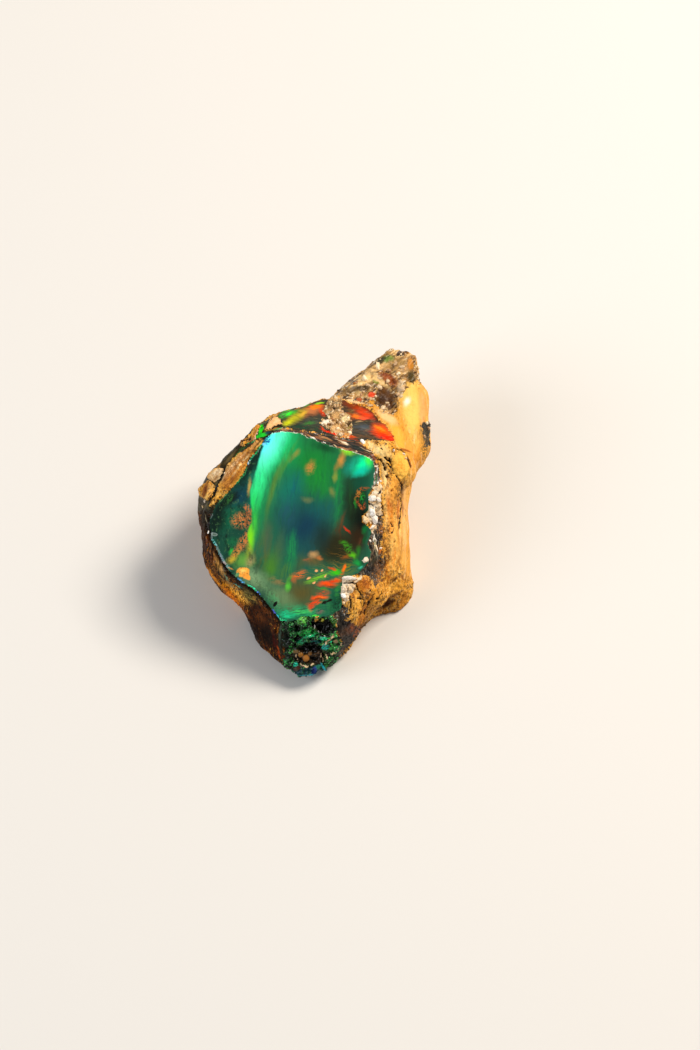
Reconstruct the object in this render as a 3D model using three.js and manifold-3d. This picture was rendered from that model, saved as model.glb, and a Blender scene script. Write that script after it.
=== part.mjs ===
// A rough opal, one natural piece: a nodule of precious opal in its ochre rind, with a polished
// window at the front, a horn that tapers back to the upper right and a short nub at the bottom.
// Millimetres, +Z up. The stone is shaped with its window level and facing +Z, its horn towards +Y,
// and its origin at the window's middle. It is then tipped towards -Y and set down on the broken
// flat underneath, so that Z is 0 there, and moved so that the Z axis runs through its middle.

import * as THREE from "three";
import { ImprovedNoise } from "three/addons/math/ImprovedNoise.js";
import { mergeVertices } from "three/addons/utils/BufferGeometryUtils.js";
import Module from "manifold-3d";

const { degToRad } = THREE.MathUtils;

// Driving dimensions.
const WINDOW_LEAN = 30; // degrees from level that the window leans towards -Y as the stone rests
const SEAT_DEPTH = 13.4; // from the window's middle straight down to the surface it rests on
const EDGE_ROUNDING = 0.45; // how softly the natural faces of one chunk meet
const CHUNK_BLEND = 0.5; // how softly one chunk grows into the next
const LUMP_SIZE = 6.5; // from one weathered lump to the next
const LUMP_HEIGHT = 0.5;
const SURFACE_DETAIL = 20; // new points along each icosahedron edge, in the weathered surface
const LONGEST_RAY = 40;

// Every ray from here to the outside crosses the surface once.
const HEART = new THREE.Vector3(3, 1, -8);

// The stone is three chunks grown together. A natural face is [heading, lean, x, y, z]: it faces
// heading degrees round from +X, leans lean degrees from the window's normal, and passes through
// the point x, y, z.
const NODULE = [
  [143, 50, -5.8, 5.6, 0], // upper left, under the crust ridges
  [134, 88, -6.9, 9.3, -6],
  [104, 85, 0.9, 14.2, -7],
  [0, 42, 8.5, 0, 0], // right, three faces that round over into the side
  [0, 70, 11.7, 0, -2.8],
  [0, 95, 13.6, 0, -9],
  [0, 130, 13.2, 0, -13],
  [-24, 46, 6.6, -6.4, 0], // lower right
  [-50, 76, 8.8, -10.4, -4],
  [268, 60, 1, -11, 0], // bottom, above the nub
  [270, 120, 0, -9.3, -10.1],
  [-135, 88, -6.2, -10.1, -6],
  [-124, 66, -6.6, -6.6, 0], // lower left, bare opal
  [200, 82, -10.7, -4, -3.5],
  [182, 80, -11.3, 0, -3],
  [183, 122, -10, 0, -8.5],
  [90, 128, 3, 13, -11],
  [140, 135, -4, 7, -14],
  [0, 180, 0, 0, -17],
];
const HORN = [
  [86, 35, 11, 12.3, -6.6], // front, from the broken window up to the tip
  [0, 42, 9.6, 5, 0],
  [134, 86, 10.5, 20.8, -12],
  [2, 84, 15.9, 10, -8],
  [-3, 88, 14.7, 20, -12],
  [90, 80, 12.6, 21.6, -13],
  [90, 168, 12.4, 19.6, -16],
  [10, 128, 15.6, 13, -13.5],
  [-42, 92, 15.2, 7, -8],
  [170, 100, 1, 10, -8],
  [270, 90, 8, 2, -8],
];
const NUB = [
  [268, 19, 1.5, -11.2, -0.4], // front, the knobbly face below the window
  [205, 57, -2.3, -13, -1.2],
  [222, 84, -4.6, -14.9, -5],
  [190, 88, -5.5, -13, -8],
  [-38, 76, 4.7, -15.2, -2.6],
  [266, 74, 1.4, -19.4, -3.4],
  [270, 140, 1.6, -16, -5.6],
  [90, 90, 1.6, -8.5, -4],
];
const BACK_KNOB = { centre: new THREE.Vector3(10.9, -7.9, -10.4), radius: 3 };
const KNOB_HOLLOW = { centre: new THREE.Vector3(11.4, -12.2, -6.2), radius: 2.7 };

// Ridges that stand proud of the faces. Each is [one end, other end, radius].
const RIDGES = [
  [[-3.6, 10.4, -0.95], [-9.6, 2.9, -1.15], 0.85], // along the upper left edge of the window
  [[-3.9, 11, -3.1], [-10.2, 4.1, -3.6], 1.1],
  [[10.6, 8.6, -3], [13, 6.2, -4.6], 1.3], // at the foot of the horn
  [[14, 15, -10], [13.6, 8.6, -7.8], 1.9], // down the right flank of the horn
  [[15, 11.4, -9.2], [15, 9.6, -9.2], 1.1],
  [[11.6, 19.8, -13], [13.8, 19.9, -13], 0.9], // across the horn's tip
  [[7.4, -7.4, -2], [9.4, -8.4, -4], 1.5], // lower right
];

// Flat faces, each written as a natural face is. The broken window is on the nodule only.
const BROKEN_WINDOW = [73, 54, 4, 9.4, 0];
const FLATS = {
  window: [0, 0, 0, 0, 0],
  sideFacet: [171, 13, -4.8, 3.5, 0],
  underside: [270, 180 - WINDOW_LEAN, 0, 0, -SEAT_DEPTH / Math.cos(degToRad(WINDOW_LEAN))],
};
const CUTTER_SIZE = 80;

const wasm = await Module();
wasm.setup();
const perlin = new ImprovedNoise();

function facing([heading, lean]) {
  const [h, l] = [degToRad(heading), degToRad(lean)];
  return new THREE.Vector3(Math.sin(l) * Math.cos(h), Math.sin(l) * Math.sin(h), Math.cos(l));
}

// How far the point lies outside a face's plane; negative inside.
function beyondFace(face, point) {
  return point.clone().sub(new THREE.Vector3(...face.slice(2))).dot(facing(face));
}

function beyondBall({ centre, radius }, point) {
  return point.distanceTo(centre) - radius;
}

function beyondRidge([from, to, radius], point) {
  const axis = new THREE.Line3(new THREE.Vector3(...from), new THREE.Vector3(...to));
  return point.distanceTo(axis.closestPointToPoint(point, true, new THREE.Vector3())) - radius;
}

// The largest of some distances, rounded where two are nearly equal.
function softMax(distances, rounding) {
  const top = Math.max(...distances);
  return top + rounding * Math.log(distances.reduce((sum, d) => sum + Math.exp((d - top) / rounding), 0));
}

function softMin(distances, rounding) {
  return -softMax(distances.map((d) => -d), rounding);
}

function beyondChunk(faces, point) {
  return softMax(faces.map((face) => beyondFace(face, point)), EDGE_ROUNDING);
}

function lumps(point) {
  const p = point.clone().divideScalar(LUMP_SIZE);
  return perlin.noise(p.x, p.y, p.z) + 0.45 * perlin.noise(2.3 * p.x + 7, 2.3 * p.y, 2.3 * p.z);
}

// Below 0 inside the weathered stone, above 0 outside it.
function beyondStone(point) {
  const lump = LUMP_HEIGHT * lumps(point);
  const nodule = Math.max(beyondChunk(NODULE, point) - lump, beyondFace(BROKEN_WINDOW, point));
  const horn = beyondChunk(HORN, point) - lump;
  const nub = beyondChunk(NUB, point) - lump;
  const ridges = RIDGES.map((ridge) => beyondRidge(ridge, point) - lump);
  const whole = softMin([nodule, horn, nub, beyondBall(BACK_KNOB, point), ...ridges], CHUNK_BLEND);
  return softMax([whole, -beyondBall(KNOB_HOLLOW, point)], CHUNK_BLEND);
}

// The point where a ray from the heart leaves the stone.
function surfacePoint(direction) {
  let [inside, outside] = [0, LONGEST_RAY];
  while (outside - inside > 1e-4) {
    const middle = (inside + outside) / 2;
    if (beyondStone(HEART.clone().addScaledVector(direction, middle)) < 0) inside = middle;
    else outside = middle;
  }
  return HEART.clone().addScaledVector(direction, inside);
}

function solidOf(geometry) {
  geometry.deleteAttribute("normal");
  geometry.deleteAttribute("uv");
  const merged = mergeVertices(geometry, 1e-4);
  return new wasm.Manifold(
    new wasm.Mesh({
      numProp: 3,
      vertProperties: new Float32Array(merged.attributes.position.array),
      triVerts: new Uint32Array(merged.index.array),
    }),
  );
}

function geometryOf(solid) {
  const { numProp, vertProperties, triVerts } = solid.getMesh();
  const geometry = new THREE.BufferGeometry();
  geometry.setAttribute("position", new THREE.BufferAttribute(vertProperties, numProp));
  geometry.setIndex(new THREE.BufferAttribute(triVerts, 1));
  return geometry;
}

// A big block whose near side lies in the face's plane, with the rest of it outside the stone.
function cutterFor(face) {
  const outward = facing(face);
  const block = new THREE.BoxGeometry(CUTTER_SIZE, CUTTER_SIZE, CUTTER_SIZE);
  block.translate(0, 0, CUTTER_SIZE / 2);
  block.applyQuaternion(new THREE.Quaternion().setFromUnitVectors(new THREE.Vector3(0, 0, 1), outward));
  block.translate(...face.slice(2));
  return solidOf(block);
}

function weatheredStone() {
  const geometry = new THREE.IcosahedronGeometry(1, SURFACE_DETAIL);
  const position = geometry.attributes.position;
  for (let i = 0; i < position.count; i++) {
    const direction = new THREE.Vector3().fromBufferAttribute(position, i).normalize();
    position.setXYZ(i, ...surfacePoint(direction));
  }
  return solidOf(geometry);
}

// The weathered stone with its flat faces cut, in the window's own frame.
function stoneGeometry() {
  const cutters = Object.values(FLATS).map(cutterFor);
  return geometryOf(cutters.reduce((solid, cutter) => solid.subtract(cutter), weatheredStone()));
}

const ochreRind = new THREE.MeshStandardMaterial({ color: 0xc08a45, roughness: 0.7, metalness: 0 });
const stone = new THREE.Mesh(stoneGeometry(), ochreRind);
stone.name = "rough_opal";
stone.rotation.x = degToRad(WINDOW_LEAN);
const footprint = new THREE.Box3().setFromObject(stone, true);
const middle = footprint.getCenter(new THREE.Vector3());
stone.position.set(-middle.x, -middle.y, -footprint.min.z);

const opal = new THREE.Group();
opal.add(stone);
export default opal;
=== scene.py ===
"""A rough opal: one nodule of precious opal in its ochre rind, lying on a pale floor.

The finished stone is a fine copy of the CAD solid. Its weathered skin, crust, knobbles and pits are
moved into the copy in millimetres, and each kind of surface has its own material. Places are given
in the stone's own frame: x to the right and y up across the polished window, z out of it, with the
window's middle at the origin, all in millimetres.
"""

import math
import random

import bmesh
import bpy
import numpy as np
from mathutils import Euler, Matrix, Vector, noise
from mathutils.bvhtree import BVHTree


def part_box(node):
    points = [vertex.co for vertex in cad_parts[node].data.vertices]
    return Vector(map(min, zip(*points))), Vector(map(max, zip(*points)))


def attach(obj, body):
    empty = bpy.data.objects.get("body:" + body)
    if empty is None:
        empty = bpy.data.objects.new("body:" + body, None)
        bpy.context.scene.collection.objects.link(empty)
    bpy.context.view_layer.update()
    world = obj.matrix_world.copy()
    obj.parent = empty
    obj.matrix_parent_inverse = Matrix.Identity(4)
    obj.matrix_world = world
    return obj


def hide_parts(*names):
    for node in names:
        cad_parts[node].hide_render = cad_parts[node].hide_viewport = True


MM = 0.001
STONE_NODE = "rough_opal"

# Where the stone's own frame lies in the row frame.
WINDOW_LEAN = math.radians(30)
WINDOW_MIDDLE = Vector((-2.321, -5.766, 13.4))
STONE_TO_ROW = (
    Matrix.Diagonal((MM, MM, MM, 1))
    @ Matrix.Translation(WINDOW_MIDDLE)
    @ Matrix.Rotation(WINDOW_LEAN, 4, "X")
)
ROW_TO_STONE = STONE_TO_ROW.inverted()
ROW_UP = np.array((0, 0.5, 0.866))  # up in the row frame, seen in the stone's own frame

# The two polished flats: a point on each and the way it faces.
WINDOW_FLAT = (Vector((0, 0, 0)), Vector((0, 0, 1)))
SIDE_LEAN = math.radians(13)
SIDE_HEADING = math.radians(171)
SIDE_FLAT = (
    Vector((-4.8, 3.5, 0)),
    Vector(
        (
            math.sin(SIDE_LEAN) * math.cos(SIDE_HEADING),
            math.sin(SIDE_LEAN) * math.sin(SIDE_HEADING),
            math.cos(SIDE_LEAN),
        )
    ),
)

COARSE_STEP = 0.26  # between points on the plain sides of the stone
FINE_RIM = 0.5  # how far inside the window's edge the mesh is still fine
SKIN_KEPT = 0.5  # how far the skin may stand proud of the CAD solid
DEEPEST_PIT = 1.8
HORN_SLANT = math.radians(36)  # how the layers rise to the right across the horn's front
CRUST_STEP = 0.12  # from one flake of crust up to the next
POTCH_FLAKE = 0.3  # how high the flakes of potch stand, in steps of a quarter
BEAD_SINK = 0.1  # how far the nub's beads sit in it

# The amber opal and the bare potch run round the stone's side, between two headings in degrees
# about this middle, and down to a depth.
SIDE_MIDDLE = (1, -2)
SIDE_RADIUS = 10
AMBER_HEADINGS = (163, 262)
AMBER_DEPTH = 9
BARE_HEADINGS = (98, 178)
BARE_DEPTH = 6.5
WINDOW_DEPTH = 2.4  # how far down the rounded rim the polish reaches
NUB_DEPTH = 7
# How far down the back the islands of crust reach, left and right of the x where these meet.
ISLAND_DEPTHS = (4.2, 2.2)
ISLAND_DEPTHS_MEET = -3.6

# Outlines across the stone's front.
WINDOW_OUTLINE = [
    (-1.6, 11.1), (0.6, 10.8), (2.0, 10.2), (3.5, 9.7), (5.0, 9.1), (7.2, 8.6), (8.9, 7.9),
    (9.3, 7.6), (9.5, 6.6), (9.3, 4.9), (8.8, 3.6), (8.7, 2.4), (8.7, 1.8), (8.0, 1.0), (7.9, 0.4),
    (8.6, 0.0), (9.1, -0.8), (8.6, -2.1), (9.0, -3.2), (8.7, -4.4), (8.2, -5.0), (7.4, -5.8),
    (5.6, -6.1), (5.6, -7.2), (5.4, -7.9), (5.7, -8.9), (5.5, -9.8), (4.6, -10.4), (3.6, -10.8),
    (2.0, -10.7), (0.9, -10.7), (0.2, -11.2), (-0.8, -11.4), (-1.7, -11.1), (-2.4, -10.3),
    (-3.0, -9.4), (-4.1, -8.1), (-5.4, -7.1), (-6.6, -6.4), (-7.6, -5.4), (-8.4, -4.4),
    (-9.1, -2.9), (-9.8, -1.6), (-10.0, 0.6), (-9.1, 2.7), (-8.2, 3.5), (-7.5, 4.2), (-6.4, 5.5),
    (-5.9, 6.2), (-5.4, 7.6), (-4.5, 8.7), (-3.9, 9.5), (-3.5, 10.2), (-2.6, 10.8),
]
BROKEN_WINDOW_OUTLINE = [
    (-1.6, 12.1), (-2.2, 12.9), (-2.0, 13.4), (-1.0, 13.8), (0.4, 14.1), (1.2, 14.4), (2.3, 14.8),
    (3.3, 15.2), (5.5, 15.0), (6.8, 14.5), (8.0, 14.2), (9.0, 13.8), (9.4, 13.3), (9.8, 12.6),
    (10.4, 12.2), (11.0, 11.6), (11.4, 11.0), (11.8, 10.4), (11.7, 10.0), (10.2, 9.95), (8.6, 10.1),
    (7.6, 9.9), (5.5, 10.4), (4.0, 10.7), (2.0, 11.0), (0.0, 11.3), (-1.3, 11.6),
]
LEDGE_OUTLINE = [
    (-2.4, 11.2), (-1.3, 11.6), (0.0, 11.3), (2.0, 11.0), (4.0, 10.7), (5.5, 10.4), (7.6, 9.9),
    (8.1, 9.4), (8.8, 9.0), (9.4, 8.4), (9.9, 7.6), (10.1, 6.4), (10.1, 5.6), (9.7, 4.8),
    (9.0, 3.8), (0.0, 0.0),
]
NUB_OUTLINE = [
    (-1.4, -11.3), (-0.4, -11.0), (0.9, -10.6), (2.6, -10.7), (4.2, -10.6), (5.0, -10.9),
    (5.0, -12.6), (5.5, -13.6), (5.6, -14.4), (5.0, -16.0), (4.4, -19.0), (-1.0, -19.0),
    (-2.0, -17.6), (-1.3, -16.2), (-1.2, -14.4), (-1.4, -13.0),
]
SAND_OUTLINE = [
    (3.0, 12.1), (3.3, 12.5), (3.9, 12.7), (3.4, 13.3), (3.6, 14.1), (3.8, 14.6), (3.9, 15.2),
    (4.8, 15.6), (5.5, 15.2), (5.5, 14.4), (5.6, 13.6), (6.0, 13.3), (6.6, 13.1), (6.6, 12.4),
    (6.9, 11.9), (6.8, 11.3), (6.4, 11.1), (6.7, 10.7), (6.4, 10.4), (5.2, 10.5), (4.4, 10.9),
    (4.1, 11.4), (3.5, 11.7),
]
HORN_FRONT_OUTLINE = [
    (4.4, 15.6), (5.5, 15.2), (7.0, 14.9), (8.6, 14.6), (9.3, 15.0), (10.0, 14.2), (10.3, 13.5),
    (11.3, 13.3), (12.0, 13.6), (12.2, 14.7), (12.6, 15.4), (13.2, 16.4), (13.5, 16.9),
    (15.0, 17.0), (15.4, 22.0), (9.0, 22.0), (5.0, 18.0),
]
# The smooth ochre: down the horn's flank and on down the right side.
SMOOTH_OUTLINE = [
    (13.4, 17.2), (17.5, 17.4), (17.5, 5.0), (15.0, 3.0), (15.0, -7.2), (13.2, -6.2), (12.5, -4.0),
    (11.9, -1.5), (12.4, 1.5), (12.7, 4.0), (13.6, 5.4), (13.8, 7.0), (13.4, 8.8), (12.2, 9.4),
    (12.0, 10.2), (11.6, 11.2), (10.6, 12.2), (9.7, 13.3), (8.8, 14.4), (9.3, 14.9), (10.2, 13.8),
    (11.9, 13.3), (12.7, 15.2),
]
# Dark potch laid bare: right of the window, below its lower right, and behind the horn's foot.
POTCH_OUTLINES = [
    [
        (9.0, -0.2), (9.7, 0.9), (10.4, 0.9), (10.5, 0.0), (10.3, -1.0), (10.2, -2.2), (10.4, -3.5),
        (10.6, -4.6), (10.5, -5.6), (10.2, -6.6), (9.6, -7.1), (9.0, -6.4), (8.3, -5.9),
        (7.2, -6.0), (6.0, -5.0), (8.0, -3.0),
    ],
    [
        (5.2, -9.2), (6.1, -9.4), (6.3, -10.5), (6.2, -11.2), (6.9, -11.6), (7.9, -12.2),
        (8.4, -13.0), (7.6, -14.2), (6.2, -16.0), (5.2, -17.0), (4.6, -15.6), (5.6, -13.6),
        (4.9, -12.6), (4.8, -11.0), (3.6, -10.6),
    ],
    [(15.0, 12.3), (16.8, 12.7), (16.8, 9.2), (15.6, 9.4), (15.3, 10.2), (15.1, 11.0)],
]
# White and peach clay packed against the window's edge.
CLAY_OUTLINES = [
    [
        (9.4, 4.5), (10.1, 4.8), (10.3, 4.2), (10.1, 3.4), (10.0, 2.4), (10.2, 1.6), (10.3, 1.1),
        (9.8, 0.9), (9.5, 0.4), (9.6, -0.4), (9.3, -1.0), (9.0, -0.4), (8.9, 0.3), (8.5, 0.9),
        (8.6, 1.8), (8.9, 2.4), (8.8, 3.4),
    ],
    [
        (5.3, -6.3), (5.6, -6.0), (7.0, -6.0), (7.9, -5.9), (7.8, -6.5), (7.2, -6.9), (7.1, -7.4),
        (6.9, -7.9), (6.4, -8.3), (6.3, -8.8), (6.0, -9.0), (5.7, -8.7), (5.3, -7.9), (5.4, -7.1),
    ],
]
# Islands of crust on the bare potch of the upper left.
CRUST_ISLANDS = [
    [
        (-3.6, 10.1), (-3.9, 9.5), (-4.5, 8.7), (-5.1, 8.1), (-5.4, 7.6), (-5.7, 6.9), (-5.9, 6.2),
        (-6.4, 5.5), (-6.9, 4.8), (-7.5, 4.2), (-8.2, 3.5), (-8.9, 2.9), (-9.5, 2.5), (-9.9, 2.1),
        (-10.1, 2.3), (-9.8, 2.9), (-9.4, 3.3), (-9.1, 4.0), (-8.9, 4.8), (-8.5, 5.6), (-8.2, 6.1),
        (-7.9, 6.6), (-7.6, 7.2), (-7.1, 7.8), (-6.6, 8.3), (-6.0, 8.7), (-5.6, 8.9), (-5.1, 9.4),
        (-4.6, 9.9), (-4.1, 10.3),
    ],
    [
        (-10.2, 6.0), (-9.3, 6.65), (-8.7, 6.7), (-8.35, 6.6), (-8.5, 6.1), (-8.7, 5.6),
        (-9.1, 5.3), (-9.4, 5.05), (-9.8, 5.3), (-10.3, 5.5),
    ],
    [
        (-10.6, 4.9), (-10.1, 5.3), (-9.8, 5.15), (-9.5, 4.9), (-9.4, 4.6), (-9.5, 4.1),
        (-9.6, 3.5), (-9.9, 3.3), (-10.1, 2.9), (-10.4, 3.0), (-10.8, 3.2), (-11.4, 3.6),
        (-11.3, 4.4),
    ],
    [
        (-6.4, 9.5), (-6.3, 9.9), (-5.5, 10.4), (-5.2, 10.9), (-4.9, 11.4), (-4.2, 11.8),
        (-4.0, 11.6), (-4.3, 11.0), (-4.5, 10.5), (-4.7, 10.1), (-5.3, 9.9), (-5.7, 9.6),
        (-5.9, 9.3),
    ],
    [
        (-3.5, 11.1), (-3.2, 11.8), (-2.9, 12.3), (-2.4, 12.8), (-1.9, 12.8), (-1.4, 12.6),
        (-1.3, 12.2), (-1.7, 11.9), (-2.4, 11.6), (-3.0, 11.3),
    ],
]
# Lobes of ochre that stand proud: [height, outline].
LOBES = [
    (0.22, [
        (11.4, 8.3), (12.0, 8.8), (12.9, 8.7), (13.3, 8.0), (13.5, 7.2), (13.6, 6.4), (13.3, 5.6),
        (12.8, 5.2), (12.3, 5.4), (11.9, 6.0), (11.6, 6.8), (11.3, 7.6),
    ]),
    (0.22, [
        (7.3, -6.4), (8.0, -5.9), (8.8, -6.2), (8.9, -7.0), (8.6, -7.7), (8.1, -8.2), (7.6, -7.8),
        (7.3, -7.1),
    ]),
    (0.3, [(8.0, 9.6), (9.4, 9.7), (11.0, 9.5), (11.4, 8.6), (10.6, 8.2), (10.0, 8.0), (9.0, 9.0)]),
]
# Regions seen from the front: [outlines, how ragged the edge is].
FRONT_REGIONS = {
    "broken_window": ([BROKEN_WINDOW_OUTLINE], 0.5),
    "ledge": ([LEDGE_OUTLINE], 0.5),
    "sand": ([SAND_OUTLINE], 1.2),
    "horn_front": ([HORN_FRONT_OUTLINE], 2),
    "potch": (POTCH_OUTLINES, 1.6),
    "clay": (CLAY_OUTLINES, 0.9),
    "island": (CRUST_ISLANDS, 0.5),
    "lobe": ([outline for _, outline in LOBES], 0.5),
}

# Cracks: [half width, depth, line].
CRACKS = [
    (0.09, 0.24, [(11.2, 7.9), (11.45, 6.9), (11.7, 6.1), (12.3, 5.3), (12.6, 4.8)]),
    (0.10, 0.30, [(10.0, 7.75), (10.6, 7.0)]),
    (0.14, 0.34, [(10.6, 7.95), (11.2, 7.55)]),
    (0.10, 0.26, [(10.9, 7.25), (11.3, 6.8)]),
    (0.11, 0.22, [(10.7, 6.6), (10.75, 6.45)]),
    (0.12, 0.34, [(12.0, 9.0), (12.6, 8.95), (13.2, 8.6)]),
    (0.13, 0.38, [(13.4, 8.2), (13.5, 7.5), (13.7, 6.9)]),
    (0.10, 0.26, [(11.6, 9.0), (11.85, 8.4)]),
    (0.07, 0.22, [(9.3, 9.75), (9.9, 9.1), (10.2, 8.7)]),
    (0.06, 0.22, [(9.7, 9.8), (10.2, 9.2)]),
    (0.11, 0.26, [(12.5, 5.0), (12.7, 4.4), (12.4, 3.7)]),
    (0.10, 0.19, [(12.75, 4.2), (12.7, 2.5), (12.5, 0.5), (12.4, -0.5)]),
    (0.11, 0.22, [(13.4, 2.5), (13.2, 1.7), (13.25, 0.8)]),
    (0.10, 0.22, [(10.1, 4.1), (9.8, 3.6)]),
    (0.10, 0.26, [(10.2, 2.6), (10.4, 1.9), (10.3, 1.2)]),
    (0.11, 0.34, [(9.4, 1.25), (9.9, 0.9), (10.5, 1.1)]),
    (0.10, 0.22, [(11.2, 0.3), (11.6, -0.4), (11.4, -1.0)]),
    (0.10, 0.30, [(8.7, 2.5), (9.1, 2.4), (9.3, 1.9)]),
    (0.08, 0.26, [(7.2, -6.8), (7.4, -7.6), (7.9, -8.3)]),
    (0.07, 0.2, [(8.5, -8.2), (8.9, -7.6), (9.0, -6.9)]),
    (0.10, 0.34, [(5.8, -6.75), (6.3, -6.85), (6.8, -6.75), (7.1, -6.9)]),
    (0.11, 0.26, [(6.5, -8.4), (6.6, -9.3), (6.4, -10.2)]),
    (0.1, 0.2, [(7.4, -8.6), (8.1, -8.75)]),
    (0.10, 0.22, [(8.3, -9.2), (7.9, -10.3), (7.6, -11.0)]),
    (0.10, 0.22, [(9.3, -8.2), (8.8, -9.3), (8.2, -10.6)]),
    (0.08, 0.22, [(10.4, -7.6), (9.9, -8.8), (9.4, -9.8)]),
    (0.10, 0.30, [(-3.7, 11.0), (-4.0, 11.7)]),
    (0.08, 0.22, [(-6.2, 9.7), (-5.6, 10.0), (-5.0, 10.1)]),
]
# Hollows in the front: [x, y, radius, depth].
HOLLOWS = [
    (10.5, 15.4, 1.2, 0.55),  # the cavity in the horn
    (11.5, 14.9, 0.9, 0.5),
    (11.3, 13.9, 0.5, 0.4),
    (10.1, 14.9, 0.6, 0.35),
    (11.3, 17.5, 0.7, 0.5),
    (8.0, 16.3, 0.7, 0.4),
    (13.7, 17.6, 0.7, 0.4),
    (0.3, -13.5, 0.5, 0.6),  # between the knobs of the nub
    (0.3, -12.3, 0.4, 0.5),
    (2.3, -11.6, 0.5, 0.7),
    (3.4, -12.1, 1.2, 1.0),
    (1.9, -14.5, 1.3, 0.5),
    (2.3, -15.8, 0.4, 0.4),
    (0.8, -16.0, 0.3, 0.4),
    (10.9, -9.4, 0.9, 0.5),  # beside the back knob
    (4.9, 12.2, 0.3, 0.6),  # in the sand
    (5.4, 11.6, 0.25, 0.5),
    (6.3, 12.0, 0.35, 0.5),
    (3.4, 12.9, 0.3, 0.5),
    (4.6, 13.9, 0.4, 0.6),
    (3.8, 11.3, 0.45, 0.4),
]
# The hollow low on the nub, and the beads of brown opal in and around it: [x, y, radius].
BEAD_HOLLOW_OUTLINE = [(-0.6, -14.4), (3.2, -14.6), (3.4, -16.4), (0, -16.6)]
NUB_BEADS = [
    (0.65, -15.35, 0.36), (1.3, -15.75, 0.46), (1.75, -15.2, 0.34), (0.25, -14.95, 0.26),
    (2.35, -15.45, 0.3), (2.8, -15.1, 0.28), (-0.15, -15.0, 0.26), (2.25, -14.85, 0.24),
    (4.8, -13.75, 0.3), (0.9, -13.8, 0.34), (3.2, -13.4, 0.26), (2.4, -13.7, 0.3),
    (3.6, -14.4, 0.34), (4.2, -14.5, 0.3), (0.1, -16.4, 0.26), (4.4, -12.0, 0.3),
    (-0.8, -12.3, 0.34), (1.0, -11.5, 0.36), (1.6, -12.6, 0.34), (0.2, -12.9, 0.3),
]
# Cream threads of clay between the nub's knobs: [half width, line].
NUB_CREAM = [
    (0.1, [(0.05, -15.2), (0.25, -16.0)]),
    (0.1, [(0.4, -16.3), (0.9, -16.65), (1.5, -16.75), (2.2, -16.4)]),
    (0.13, [(3.1, -15.2), (3.15, -15.8), (3.4, -16.2)]),
    (0.12, [(3.6, -15.2), (3.7, -15.8)]),
    (0.16, [(3.9, -15.4), (4.5, -15.0)]),
    (0.16, [(4.7, -15.2), (5.1, -14.7), (5.5, -14.0)]),
    (0.14, [(3.4, -14.1), (3.7, -13.8), (4.1, -13.4), (4.8, -12.8)]),
]
# White clay crumbs by the window: [x, y, half length, half width, turn in degrees, height].
CLAY_CRUMBS = [
    (9.2, 3.1, 0.45, 0.33, 20, 0.35), (9.4, 2.0, 0.2, 0.14, 30, 0.2),
    (9.35, 0.75, 0.62, 0.33, 10, 0.4), (9.15, 1.45, 0.5, 0.35, 60, 0.35),
    (8.3, 0.65, 0.32, 0.48, -20, 0.35), (9.15, -0.2, 0.16, 0.5, 15, 0.25),
    (9.1, -0.9, 0.14, 0.2, 0, 0.2), (8.85, -1.85, 0.2, 0.14, -40, 0.2),
    (8.35, -4.1, 0.36, 0.3, 30, 0.35), (10.05, -2.75, 0.12, 0.22, 30, 0.2),
    (9.6, -2.6, 0.09, 0.75, 8, 0.15), (9.45, -1.6, 0.08, 0.4, 10, 0.15),
    (9.6, 6.2, 0.14, 0.14, 0, 0.15), (9.55, 6.9, 0.1, 0.25, 10, 0.15),
    (9.75, 4.9, 0.14, 0.2, 0, 0.2), (10.05, 5.15, 0.16, 0.14, 0, 0.2),
    (9.9, 3.0, 0.3, 0.25, 0, 0.2), (12.85, 8.4, 0.2, 0.13, 0, 0.15),
    (13.1, 7.9, 0.15, 0.15, 0, 0.15), (11.65, 8.8, 0.18, 0.14, 0, 0.15),
    (6.4, -6.25, 0.8, 0.2, 3, 0.3), (5.8, -7.5, 0.36, 0.3, 20, 0.3),
    (5.75, -8.3, 0.25, 0.4, -10, 0.3), (6.5, -7.5, 0.25, 0.2, 0, 0.2),
    (5.75, -9.15, 0.2, 0.16, 0, 0.2), (7.2, -6.35, 0.25, 0.16, 10, 0.2),
    (2.15, 10.2, 0.38, 0.13, -5, 0.14), (4.8, 9.25, 0.35, 0.08, -35, 0.1),
    (7.25, 8.65, 0.14, 0.08, 0, 0.1), (5.8, 9.6, 0.4, 0.09, -20, 0.1),
    (8.0, 9.8, 0.4, 0.2, -15, 0.2), (-10.65, 2.85, 0.2, 0.15, 0, 0.15),
    (-10.9, 2.15, 0.12, 0.2, -30, 0.15), (-8.25, 6.1, 0.14, 0.1, 20, 0.12),
    (-10.2, -0.85, 0.1, 0.2, 20, 0.12), (1.25, 10.5, 0.16, 0.06, -30, 0.1),
    (3.55, 9.65, 0.25, 0.06, -10, 0.08),
]
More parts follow.
